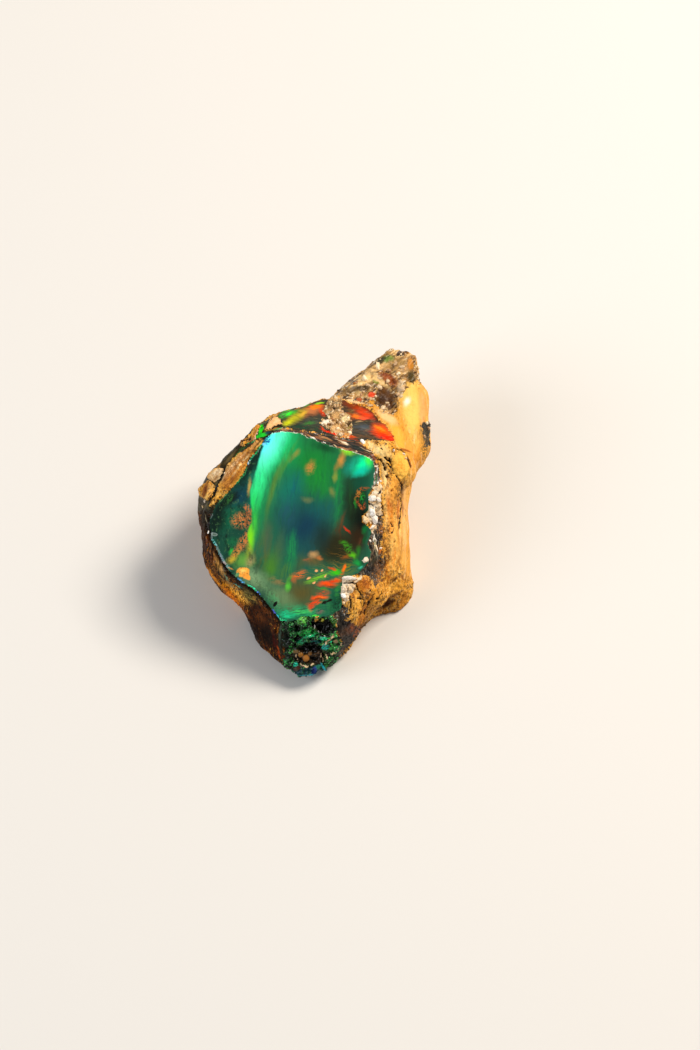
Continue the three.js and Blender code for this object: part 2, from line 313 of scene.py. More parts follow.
# Bright grains on the horn: the same, a little glassy.
HORN_CRYSTALS = [
    (10.4, 14, 0.34, 0.32, 0, 0.28), (10.05, 16.5, 0.32, 0.26, 0, 0.28),
    (11.05, 17.3, 0.26, 0.24, 0, 0.24), (12.35, 18.2, 0.3, 0.24, 0, 0.24),
    (11.25, 18.6, 0.36, 0.22, 10, 0.24), (12.7, 16.3, 0.32, 0.56, 10, 0.28),
    (12.3, 15.6, 0.24, 0.36, 0, 0.24), (10.95, 14.6, 0.24, 0.2, 0, 0.24),
    (11.9, 13.6, 0.2, 0.2, 0, 0.2), (8.85, 14.25, 0.4, 0.14, -30, 0.16),
    (6.6, 15.1, 0.4, 0.13, -12, 0.16), (6.3, 15.7, 0.28, 0.11, 20, 0.16),
    (6.85, 15.6, 0.13, 0.2, 30, 0.16), (9, 15.1, 0.2, 0.24, 0, 0.2),
    (8.3, 17.6, 0.44, 0.26, 20, 0.24), (9.9, 19.1, 0.56, 0.24, 15, 0.24),
    (8.8, 16.7, 0.48, 0.18, -10, 0.2), (10.1, 17.6, 0.48, 0.18, -35, 0.2),
    (7.8, 15.5, 0.36, 0.24, 0, 0.2), (12.6, 17.2, 0.24, 0.32, 0, 0.2),
    (12.8, 19, 0.32, 0.24, 0, 0.2), (12, 19.4, 0.32, 0.2, 0, 0.2), (15.7, 12.2, 0.2, 0.2, 0, 0.16),
    (15.4, 10.6, 0.22, 0.2, 0, 0.16), (15.9, 11.6, 0.2, 0.24, 0, 0.16),
    (7.2, 17.1, 0.4, 0.2, 40, 0.2),
]
ABOVE_STONE = 9  # where a ray that looks for the stone's front starts


# ---------------------------------------------------------------- measuring and noise


def line_distance(line, x, y):
    """How far each point x, y lies from a line through several points."""
    nearest = np.full(len(x), np.inf)
    for (x0, y0), (x1, y1) in zip(line, line[1:]):
        across, up = x1 - x0, y1 - y0
        along = np.clip(((x - x0) * across + (y - y0) * up) / (across**2 + up**2), 0, 1)
        away = np.hypot(x - x0 - along * across, y - y0 - along * up)
        nearest = np.minimum(nearest, away)
    return nearest


def outline_distance(outline, x, y):
    """How far each point x, y lies inside a closed outline; negative outside."""
    closed = [*outline, outline[0]]
    inside = np.zeros(len(x), bool)
    for (x0, y0), (x1, y1) in zip(closed, closed[1:]):
        if y0 != y1:
            inside ^= ((y0 > y) != (y1 > y)) & (x < x0 + (y - y0) / (y1 - y0) * (x1 - x0))
    away = line_distance(closed, x, y)
    return np.where(inside, away, -away)


def strokes(lines, x, y):
    """1 along the middle of each stroke [half width, line], and 0 beyond its half width."""
    cover = np.zeros(len(x))
    for half_width, line in lines:
        away = line_distance(line, x, y)
        cover = np.maximum(cover, smooth_step(away, half_width, 0.3 * half_width))
    return cover


def smooth_step(value, low, high):
    """0 up to low and 1 from high on, with a smooth rise between."""
    t = np.clip((value - low) / (high - low), 0, 1)
    return t * t * (3 - 2 * t)


def field(points, size, function=noise.noise, stretch=(1, 1, 1), shift=0):
    """A noise at every point, with features of about size mm, longer where stretch is large."""
    scaled = points / (np.array(stretch, float) * size) + shift
    return np.array([function(Vector(p)) for p in scaled.tolist()])


def rough(vector):
    """A noise with finer and finer detail on it, as broken stone has."""
    return noise.fractal(vector, 0.7, 2.1, 4)


def nearest_seed(vector):
    """How far the nearest of some scattered seeds lies: round pits or knobs."""
    return noise.voronoi(vector)[0][0]


def edge_of_cell(vector):
    """0 where two seeds are as near as each other: the gaps between clods."""
    near, next_near = noise.voronoi(vector)[0][:2]
    return next_near - near


# ---------------------------------------------------------------- the stone's shape


def into_scene(name, data):
    """A new object for some data, linked into the scene."""
    thing = bpy.data.objects.new(name, data)
    bpy.context.scene.collection.objects.link(thing)
    return thing


def fine_copy(cad):
    """A closed even mesh of the CAD solid, with a finer front."""
    piece = into_scene("stone", cad.data.copy())
    remesh = piece.modifiers.new("even", "REMESH")
    remesh.mode = "VOXEL"
    remesh.voxel_size = COARSE_STEP * MM
    evaluated = piece.evaluated_get(bpy.context.evaluated_depsgraph_get())
    piece.data = bpy.data.meshes.new_from_object(evaluated)
    piece.modifiers.clear()

    mesh = bmesh.new()
    mesh.from_mesh(piece.data)
    mesh.transform(ROW_TO_STONE)
    mesh.normal_update()
    front = [face for face in mesh.faces if face.normal.z > 0.2]
    x, y = np.array([face.calc_center_median()[:2] for face in front]).T
    inside = outline_distance(WINDOW_OUTLINE, x, y)
    detailed = [face for face, depth in zip(front, inside) if depth < FINE_RIM]
    edges = {edge for face in detailed for edge in face.edges}
    bmesh.ops.subdivide_edges(mesh, edges=list(edges), cuts=1, use_grid_fill=True)
    bmesh.ops.triangulate(mesh, faces=[face for face in mesh.faces if len(face.verts) > 4])
    mesh.to_mesh(piece.data)
    mesh.free()
    return piece


def vectors_of(mesh, kind):
    """Every vertex's place or normal, one to a row."""
    flat = np.empty(len(mesh.vertices) * 3)
    mesh.vertices.foreach_get(kind, flat)
    return flat.reshape(-1, 3)


def store(mesh, name, values):
    """Keeps a number for every vertex, for the materials to read."""
    attribute = mesh.attributes.new(name, "FLOAT", "POINT")
    attribute.data.foreach_set("value", np.asarray(values, np.float32))


def beyond_flat(flat, points):
    """How far each point stands out of a flat."""
    place, facing = flat
    return (points - np.array(place)) @ np.array(facing)


def surface_regions(points, normals):
    """How far inside each region every point lies, in millimetres; negative outside."""
    x, y, z = points.T
    ragged = field(points, 0.7, rough) * 0.25
    front = (smooth_step(normals[:, 2], -0.1, 0.2) - 0.5) * 12
    left_depth, right_depth = ISLAND_DEPTHS
    crust_depth = np.where(x > ISLAND_DEPTHS_MEET, right_depth, left_depth)
    heading = np.degrees(np.arctan2(y - SIDE_MIDDLE[1], x - SIDE_MIDDLE[0])) % 360

    def inside_any(outlines):
        """How far inside whichever outline is nearest."""
        return np.max([outline_distance(outline, x, y) for outline in outlines], axis=0)

    def round_the_side(headings, depth, raggedness):
        """How far inside a stretch of the side, between two headings and above a depth."""
        start, end = headings
        around = np.minimum(heading - start, end - heading) * math.radians(1) * SIDE_RADIUS
        return np.minimum(around + raggedness * ragged, z + depth + 3 * ragged)

    regions = {
        name: np.minimum(inside_any(outlines) + raggedness * ragged, front)
        for name, (outlines, raggedness) in FRONT_REGIONS.items()
    }
    regions["island"] = np.minimum(regions["island"], z + crust_depth + 4 * ragged)
    regions["window"] = np.minimum(
        outline_distance(WINDOW_OUTLINE, x, y) + 0.35 * ragged, z + WINDOW_DEPTH
    )
    regions["nub"] = np.minimum(outline_distance(NUB_OUTLINE, x, y) + ragged, z + NUB_DEPTH)
    regions["smooth_ochre"] = outline_distance(SMOOTH_OUTLINE, x, y) + 2 * ragged
    regions["amber"] = round_the_side(AMBER_HEADINGS, AMBER_DEPTH, 2)
    regions["bare_left"] = round_the_side(BARE_HEADINGS, BARE_DEPTH, 1)
    return regions


def crust_relief(points, fine):
    """Weathered crust: lumps that break off in steps, fibres, pits and fine grain."""
    lumps = field(points, 2.6, rough) * 0.26
    steps = np.round(lumps / CRUST_STEP) * CRUST_STEP
    fibres = field(points, 0.6, rough, stretch=(0.5, 2.0, 0.8), shift=5) * 0.12
    pits = smooth_step(field(points, 0.9, nearest_seed), 0.34, 0.1)
    pits *= smooth_step(field(points, 2.4, shift=9), 0, 0.3)
    return 0.5 * lumps + 0.5 * steps + fibres + fine - 0.4 * pits


def rubble_relief(points):
    """Coarse sand and chips on the horn's front, in layers that slant across it."""
    slanting = points @ np.array(Matrix.Rotation(-HORN_SLANT, 3, "Z")).T
    rubble = 0.55 * field(slanting, 1.5, rough, stretch=(2.2, 0.7, 1), shift=61)
    rubble += 0.25 * field(slanting, 0.6, rough, stretch=(1.6, 0.8, 1), shift=63) - 0.05
    return rubble


def knob_relief(points):
    """The nub's small round knobs, a hollow among them, and the beads of brown opal."""
    x, y, _ = points.T
    knobs = 0.3 * (1 - (field(points, 0.42, nearest_seed, shift=2) / 0.6) ** 2)
    knobs += 0.16 * field(points, 1.1, rough, shift=12)
    knobs += 0.3 * smooth_step(outline_distance(BEAD_HOLLOW_OUTLINE, x, y), 0.3, -0.3) - 0.3
    for bead_x, bead_y, radius in NUB_BEADS:
        away = np.hypot(x - bead_x, y - bead_y) / radius
        dome = radius * np.sqrt(np.maximum(0, 1 - away**2)) - BEAD_SINK
        knobs = np.maximum(knobs, np.where(away < 1, dome, -np.inf))
    return knobs


def skin_relief(points, regions, front):
    """How far the skin stands out at every point, before the cracks and hollows are cut."""

    def share(name, low, high):
        """How much of a region's own relief every point takes, from 0 to 1."""
        return smooth_step(regions[name], low, high)

    polished = share("window", -0.05, 0.1)
    unpolished = 1 - polished
    glassy = share("broken_window", -0.1, 0.15)
    knobbly = share("nub", -0.3, 0.3) * unpolished
    amber = share("amber", -0.4, 0.4) * unpolished * (1 - knobbly)
    bare = share("bare_left", -0.4, 0.4) * unpolished * (1 - glassy)
    ledge = share("ledge", -0.1, 0.2) * unpolished
    potch = share("potch", -0.1, 0.2) * unpolished
    clay = share("clay", -0.1, 0.25) * unpolished
    horn_front = share("horn_front", -0.2, 0.3)
    taken = polished + glassy + knobbly + amber + bare + ledge + potch + clay + horn_front
    crusty = 1 - np.clip(taken, 0, 1)
    crusty *= 1 - 0.75 * share("smooth_ochre", -0.4, 0.4)
    island = share("island", -0.12, 0.22) * unpolished
    sand = share("sand", -0.15, 0.3) * unpolished

    fine = field(points, 0.35, rough, shift=3) * 0.07
    crust = crust_relief(points, fine)
    flakes = field(points, 0.8, rough, stretch=(0.6, 1.6, 1), shift=41)
    flakes = np.round(flakes * 4) / 4 * POTCH_FLAKE
    clods = 0.24 * smooth_step(field(points, 0.55, edge_of_cell, shift=51), 0.0, 0.4) - 0.1
    ripple = field(points, 1.4, rough, stretch=(1.5, 0.6, 1)) * 0.12
    break_wave = field(points, 3.5, rough, stretch=(2, 0.7, 1)) * 0.06
    bands = 0.035 * np.sin(regions["window"] * 22 + 2 * field(points, 1.6, shift=71)) - 0.12

    height = crusty * crust + knobbly * (knob_relief(points) - 0.05)
    height = height + amber * ripple + bare * (0.5 * ripple + 0.3 * flakes)
    height += glassy * break_wave * (1 - sand) + ledge * bands + potch * (flakes - 0.1)
    height += horn_front * (0.35 + 0.65 * front) * rubble_relief(points)
    packed = clay * (0.18 + clods + fine) + island * (0.32 + 0.9 * crust)
    height += packed + sand * (0.15 + clods + 2 * fine)
    for lobe_height, outline in LOBES:
        inside = outline_distance(outline, points[:, 0], points[:, 1])
        height += front * lobe_height * smooth_step(inside, -0.15, 0.7)
    return height


def weather(stone):
    """Moves the skin: crust, knobbles, pits and grain. Gives the regions, for the finishes."""
    mesh = stone.data
    points, normals = vectors_of(mesh, "co"), vectors_of(mesh, "normal")
    regions = surface_regions(points, normals)
    front = smooth_step(normals[:, 2], 0.1, 0.4)
    polished = smooth_step(regions["window"], -0.05, 0.1)
    height = skin_relief(points, regions, front)

    wander_x, wander_y = [field(points, 0.5, rough, shift=shift) * 0.12 for shift in (21, 33)]
    x, y = points[:, 0] + wander_x, points[:, 1] + wander_y
    crack = np.zeros(len(points))
    for half_width, depth, line in CRACKS:
        cover = front * strokes([(half_width, line)], x, y)
        height -= depth * cover
        crack = np.maximum(crack, cover)
    cream = front * strokes(NUB_CREAM, x, y)
    cream = cream * smooth_step(field(points, 0.4, rough, shift=91), -0.5, 0.1)
    knobbly = smooth_step(regions["nub"], -0.3, 0.3) * (1 - polished)
    height += knobbly * 0.12 * cream
    x, y = points[:, 0] + 2.5 * wander_x, points[:, 1] + 2.5 * wander_y
    for hollow_x, hollow_y, radius, depth in HOLLOWS:
        away = np.hypot(x - hollow_x, y - hollow_y) / radius
        height -= front * depth * smooth_step(away, 1.2, 0.3)
    height = np.clip(height, -DEEPEST_PIT, SKIN_KEPT)
    off_the_floor = smooth_step(points @ ROW_UP + WINDOW_MIDDLE.z, 0.05, 0.6)
    height *= off_the_floor * (1 - polished)
    moved = points + normals * height[:, None]

    # The window and its side facet are ground flat, and their rim is rounded over.
    flat_gap = np.maximum(beyond_flat(WINDOW_FLAT, moved), beyond_flat(SIDE_FLAT, moved))
    rim = 0.35 * smooth_step(regions["window"], -0.02, -0.4)
    moved[:, 2] -= np.where(polished > 0.5, flat_gap, np.maximum(flat_gap - rim, 0))

    mesh.vertices.foreach_set("co", moved.ravel())
    mesh.update()
    store(mesh, "window", regions["window"])
    store(mesh, "smooth_ochre", regions["smooth_ochre"])
    store(mesh, "relief", height)
    store(mesh, "facing_out", 4 * normals[:, 2] + 2 * field(points, 1.2, rough, shift=81))
    store(mesh, "crack", crack)
    store(mesh, "cream", cream)
    return regions


def keep_in_box(stone, low, high):
    """Draws in the few points that stand outside the CAD solid's box."""
    points = vectors_of(stone.data, "co")
    stone.data.vertices.foreach_set("co", np.clip(points, low, high).ravel())
    stone.data.update()


def lumps_on(stone, name, places, detail, finish):
    """Lumps set into the stone's front, each knocked out of round, joined as one piece."""
    mesh = stone.data
    ground = BVHTree.FromPolygons(
        [vert.co for vert in mesh.vertices], [face.vertices for face in mesh.polygons]
    )
    joined = bmesh.new()
    tone = joined.verts.layers.float.new("tone")
    for number, (x, y, half_long, half_wide, turn, height) in enumerate(places):
        spot, normal, _, _ = ground.ray_cast(Vector((x, y, ABOVE_STONE)), Vector((0, 0, -1)))
        if spot is None:
            continue
        upright = normal.lerp(Vector((0, 0, 1)), 0.3).to_track_quat("Z", "Y")
        lump = bmesh.ops.create_icosphere(joined, subdivisions=detail, radius=1)
        lump_tone = 0.5 + noise.noise(Vector((number * 1.7, 0.3, 0.5)))
        for vert in lump["verts"]:
            knock = 1 + 0.45 * noise.noise(vert.co * 1.3 + Vector((number * 3.1, 0, 0)))
            knock += 0.3 * noise.noise(vert.co * 3.1 + Vector((0, number * 2.3, 0)))
            knock += 0.12 * noise.noise(vert.co * 7.3 + Vector((0, 0, number * 1.9)))
            local = Vector((vert.co.x * half_long, vert.co.y * half_wide, vert.co.z * height))
            local *= knock
            local.rotate(Euler((0, 0, math.radians(turn))))
            local.rotate(upright)
            vert.co = spot + local
            vert[tone] = lump_tone
    lumps = bpy.data.meshes.new(name)
    joined.to_mesh(lumps)
    joined.free()
    lumps.transform(STONE_TO_ROW)
    lumps.materials.append(finish)
    lumps.polygons.foreach_set("use_smooth", np.ones(len(lumps.polygons), bool))
    piece = into_scene(name, lumps)
    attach(piece, "root")


def scattered(outline, spacing, low, high, seed):
    """Places for loose grains inside an outline, from low to high millimetres in radius."""
    draw = random.Random(seed)
    xs, ys = zip(*outline)
    count = int((max(xs) - min(xs)) * (max(ys) - min(ys)) / spacing**2)
    spots = [
        (draw.uniform(min(xs), max(xs)), draw.uniform(min(ys), max(ys))) for _ in range(count)
    ]
    inside = outline_distance(outline, *np.array(spots).T)
    places = []
    for x, y in [spot for spot, depth in zip(spots, inside) if depth > 0]:
        size = low + (high - low) * draw.random() ** 2
        width = size * draw.uniform(0.6, 1)
        turn = draw.uniform(0, 180)
        places.append((x, y, size, width, turn, size * draw.uniform(0.6, 1)))
    return places


# ---------------------------------------------------------------- how every finish is made

# A Mix node's sockets for colours.
FACTOR, UNDER, OVER, MIXED = 0, 6, 7, 2


def linear(hex_colour):
    """A colour written as sRGB hex, as the linear colour that shaders take."""
    channels = [int(hex_colour[i : i + 2], 16) / 255 for i in (1, 3, 5)]
    return (
        *[c / 12.92 if c <= 0.04045 else ((c + 0.055) / 1.055) ** 2.4 for c in channels],
        1.0,
    )


def add(tree, kind, inputs=None, **settings):
    """Adds a node with its settings. An input given as a socket is linked, and any other is set."""
    node = tree.nodes.new("ShaderNode" + kind)
    for name, value in settings.items():
        setattr(node, name, value)
    for name, value in (inputs or {}).items():
        socket = node.inputs[name]
        if isinstance(value, bpy.types.NodeSocket):
            tree.links.new(value, socket)
        else:
            socket.default_value = value
    return node


def new_material(name, **surface):
    """A material with one Principled surface, and the place in the stone's frame as a socket."""
    material = bpy.data.materials.new(name)
    material.use_nodes = True
    tree = material.node_tree
    shader = tree.nodes["Principled BSDF"]
    for socket, value in surface.items():
        shader.inputs[socket.replace("_", " ")].default_value = value
    row_place = add(tree, "TexCoord").outputs["Object"]
    turned = add(
        tree, "VectorRotate", {"Vector": row_place, "Angle": -WINDOW_LEAN}, rotation_type="X_AXIS"
    )
    middle = Matrix.Rotation(-WINDOW_LEAN, 3, "X") @ WINDOW_MIDDLE
    place = add(
        tree,
        "VectorMath",
        {0: turned.outputs[0], 1: (1 / MM,) * 3, 2: -middle},
        operation="MULTIPLY_ADD",
    )
    return material, tree, shader, place.outputs[0]


def colour_surface(tree, shader, colour):
    """Gives a surface its colour, and the same colour as a painted glow where the material has any
    emission.
    """
    tree.links.new(colour, shader.inputs["Base Color"])
    if shader.inputs["Emission Strength"].default_value:
        tree.links.new(colour, shader.inputs["Emission Color"])


def warped(tree, place, size, reach):
    """The place pushed about by a noise, so that what is drawn in it has wandering edges."""
    push = add(
        tree, "TexNoise", {"Vector": place, "Scale": 1 / size, "Detail": 4, "Roughness": 0.6}
    )
    centred = add(
        tree,
        "VectorMath",
        {0: push.outputs["Color"], 1: (2 * reach,) * 3, 2: (-reach,) * 3},
        operation="MULTIPLY_ADD",
    )
    return add(tree, "VectorMath", {0: place, 1: centred.outputs[0]}, operation="ADD").outputs[0]


def region(tree, name, low, high, strength=1.0):
    """0 to strength across a region's edge, from low to high millimetres inside it."""
    inside = add(tree, "Attribute", attribute_name=name).outputs["Fac"]
    return add(
        tree,
        "MapRange",
        {"Value": inside, "From Min": low, "From Max": high, "To Max": strength},
        interpolation_type="SMOOTHSTEP",
    ).outputs[0]


def by_region(tree, name, low, high, outside, inside, strength=1.0):
    """One colour outside a region and another inside it, from low to high millimetres in."""
    cover = region(tree, name, low, high, strength)
    colours = {FACTOR: cover, UNDER: outside, OVER: inside}
    return add(tree, "Mix", colours, data_type="RGBA").outputs[MIXED]


def with_cracks(tree, colour, depth_colour="#20140C"):
    """Darkens a colour along the cracks."""
    return by_region(tree, "crack", 0.15, 0.7, colour, linear(depth_colour))


def with_painted_hollow_shade(tree, colour, low, high, depth_colour):
    """Darkens a colour in the hollows as painted shade: fully at low millimetres of relief, and not
    at high.
    """
    return by_region(tree, "relief", high, low, colour, linear(depth_colour))


def chips_along(tree, place, fineness, low, high, rim):
    """Where a rim is chipped: its cover broken up by a noise, with fineness chips to the mm."""
    chip = add(
        tree, "TexNoise", {"Vector": place, "Scale": fineness, "Detail": 5, "Roughness": 0.7}
    )
    chipped = add(
        tree, "MapRange", {"Value": chip.outputs[0], "From Min": low, "From Max": high}
    ).outputs[0]
    return add(tree, "Math", {0: rim, 1: chipped}, operation="MULTIPLY").outputs[0]


def grainy(tree, shader, place, size, depth):
    """Fine grain too small for the mesh, as a bump depth millimetres deep."""
    texture = add(
        tree, "TexNoise", {"Vector": place, "Scale": 1 / size, "Detail": 5, "Roughness": 0.7}
    )
    bump = add(tree, "Bump", {"Height": texture.outputs[0], "Distance": depth * MM})
    tree.links.new(bump.outputs[0], shader.inputs["Normal"])


def with_stains(tree, place, colour, stains):
    """Lays stains over a colour and gives the colour that results. A stain is a noise: [size in mm,
    stretch, where the noise starts to show, where it is full, strength, colour, shift]."""
    for size, stretch, low, high, strength, stain, shift in stains:
        spread = add(
            tree,
            "Mapping",
            {"Vector": place, "Location": (shift,) * 3, "Scale": [size * part for part in stretch]},
            vector_type="TEXTURE",
        )
        texture = add(
            tree,
            "TexNoise",
            {"Vector": spread.outputs[0], "Scale": 1, "Detail": 4, "Roughness": 0.6},
        )
        cover = add(
            tree,
            "MapRange",
            {"Value": texture.outputs[0], "From Min": low, "From Max": high, "To Max": strength},
            interpolation_type="SMOOTHSTEP",
        )
        colours = {FACTOR: cover.outputs[0], UNDER: colour, OVER: linear(stain)}
        colour = add(tree, "Mix", colours, data_type="RGBA").outputs[MIXED]
    return colour


# The grains that break patches of colour up, as stretched noise: how long and wide in mm, how far
# turned in degrees, where the noise starts to show and where it is full.
GRAINS = {
    "down": ((0.3, 2.6, 2), -8, 0.25, 0.7),
    "wisp": ((0.4, 3.0, 2), -5, 0.1, 0.6),
    "across": ((1.3, 0.16, 2), 8, 0.38, 0.54),
    "hatch": ((2.2, 0.09, 2), -14, 0.5, 0.64),
    "speckle": ((0.2, 0.2, 0.2), 0, 0.42, 0.54),
    "slant": ((1.8, 0.12, 2), 50, 0.42, 0.56),
}


def grains_for(tree, place, patches):
    """The grains that these patches use, by name."""
    used = {patch[-1] for patch in patches}
    grains = {}
    for name, (size, turn, low, high) in GRAINS.items():
        if name not in used:
            continue
        stretched = add(
            tree,
            "Mapping",
            {"Vector": place, "Rotation": (0, 0, math.radians(turn)), "Scale": size},
            vector_type="TEXTURE",
        )
        texture = add(tree, "TexNoise", {"Vector": stretched.outputs[0], "Scale": 1, "Detail": 3})
        grains[name] = add(
            tree,
            "MapRange",
            {"Value": texture.outputs[0], "From Min": low, "From Max": high},
            interpolation_type="SMOOTHSTEP",
        ).outputs[0]
    return grains


def with_patches(tree, place, colour, patches, grains):
    """Lays patches over a colour, the first to be listed lying deepest, and gives the colour that
    results. A patch is [x, y, half length, half width, turn in degrees, softness, strength, colour,
    and a grain if it has one]. Softness 1 fades all the way from the middle."""
    for x, y, half_long, half_wide, turn, softness, strength, patch, *grain in patches:
        inside = add(
            tree,
            "Mapping",
            {
                "Vector": place,
                "Location": (x, y, 0),
                "Rotation": (0, 0, math.radians(turn)),
                "Scale": (half_long, half_wide, 1e4),
            },
            vector_type="TEXTURE",
        )
        blob = add(tree, "TexGradient", {"Vector": inside.outputs[0]}, gradient_type="SPHERICAL")
        cover = add(
            tree,
            "MapRange",
            {"Value": blob.outputs["Fac"], "From Max": softness, "To Max": strength},
            interpolation_type="SMOOTHSTEP",
        ).outputs[0]
        for name in grain:
            cover = add(tree, "Math", {0: cover, 1: grains[name]}, operation="MULTIPLY").outputs[0]
        colours = {FACTOR: cover, UNDER: colour, OVER: linear(patch)}
        colour = add(tree, "Mix", colours, data_type="RGBA").outputs[MIXED]
    return colour


# ---------------------------------------------------------------- the window's polished opal

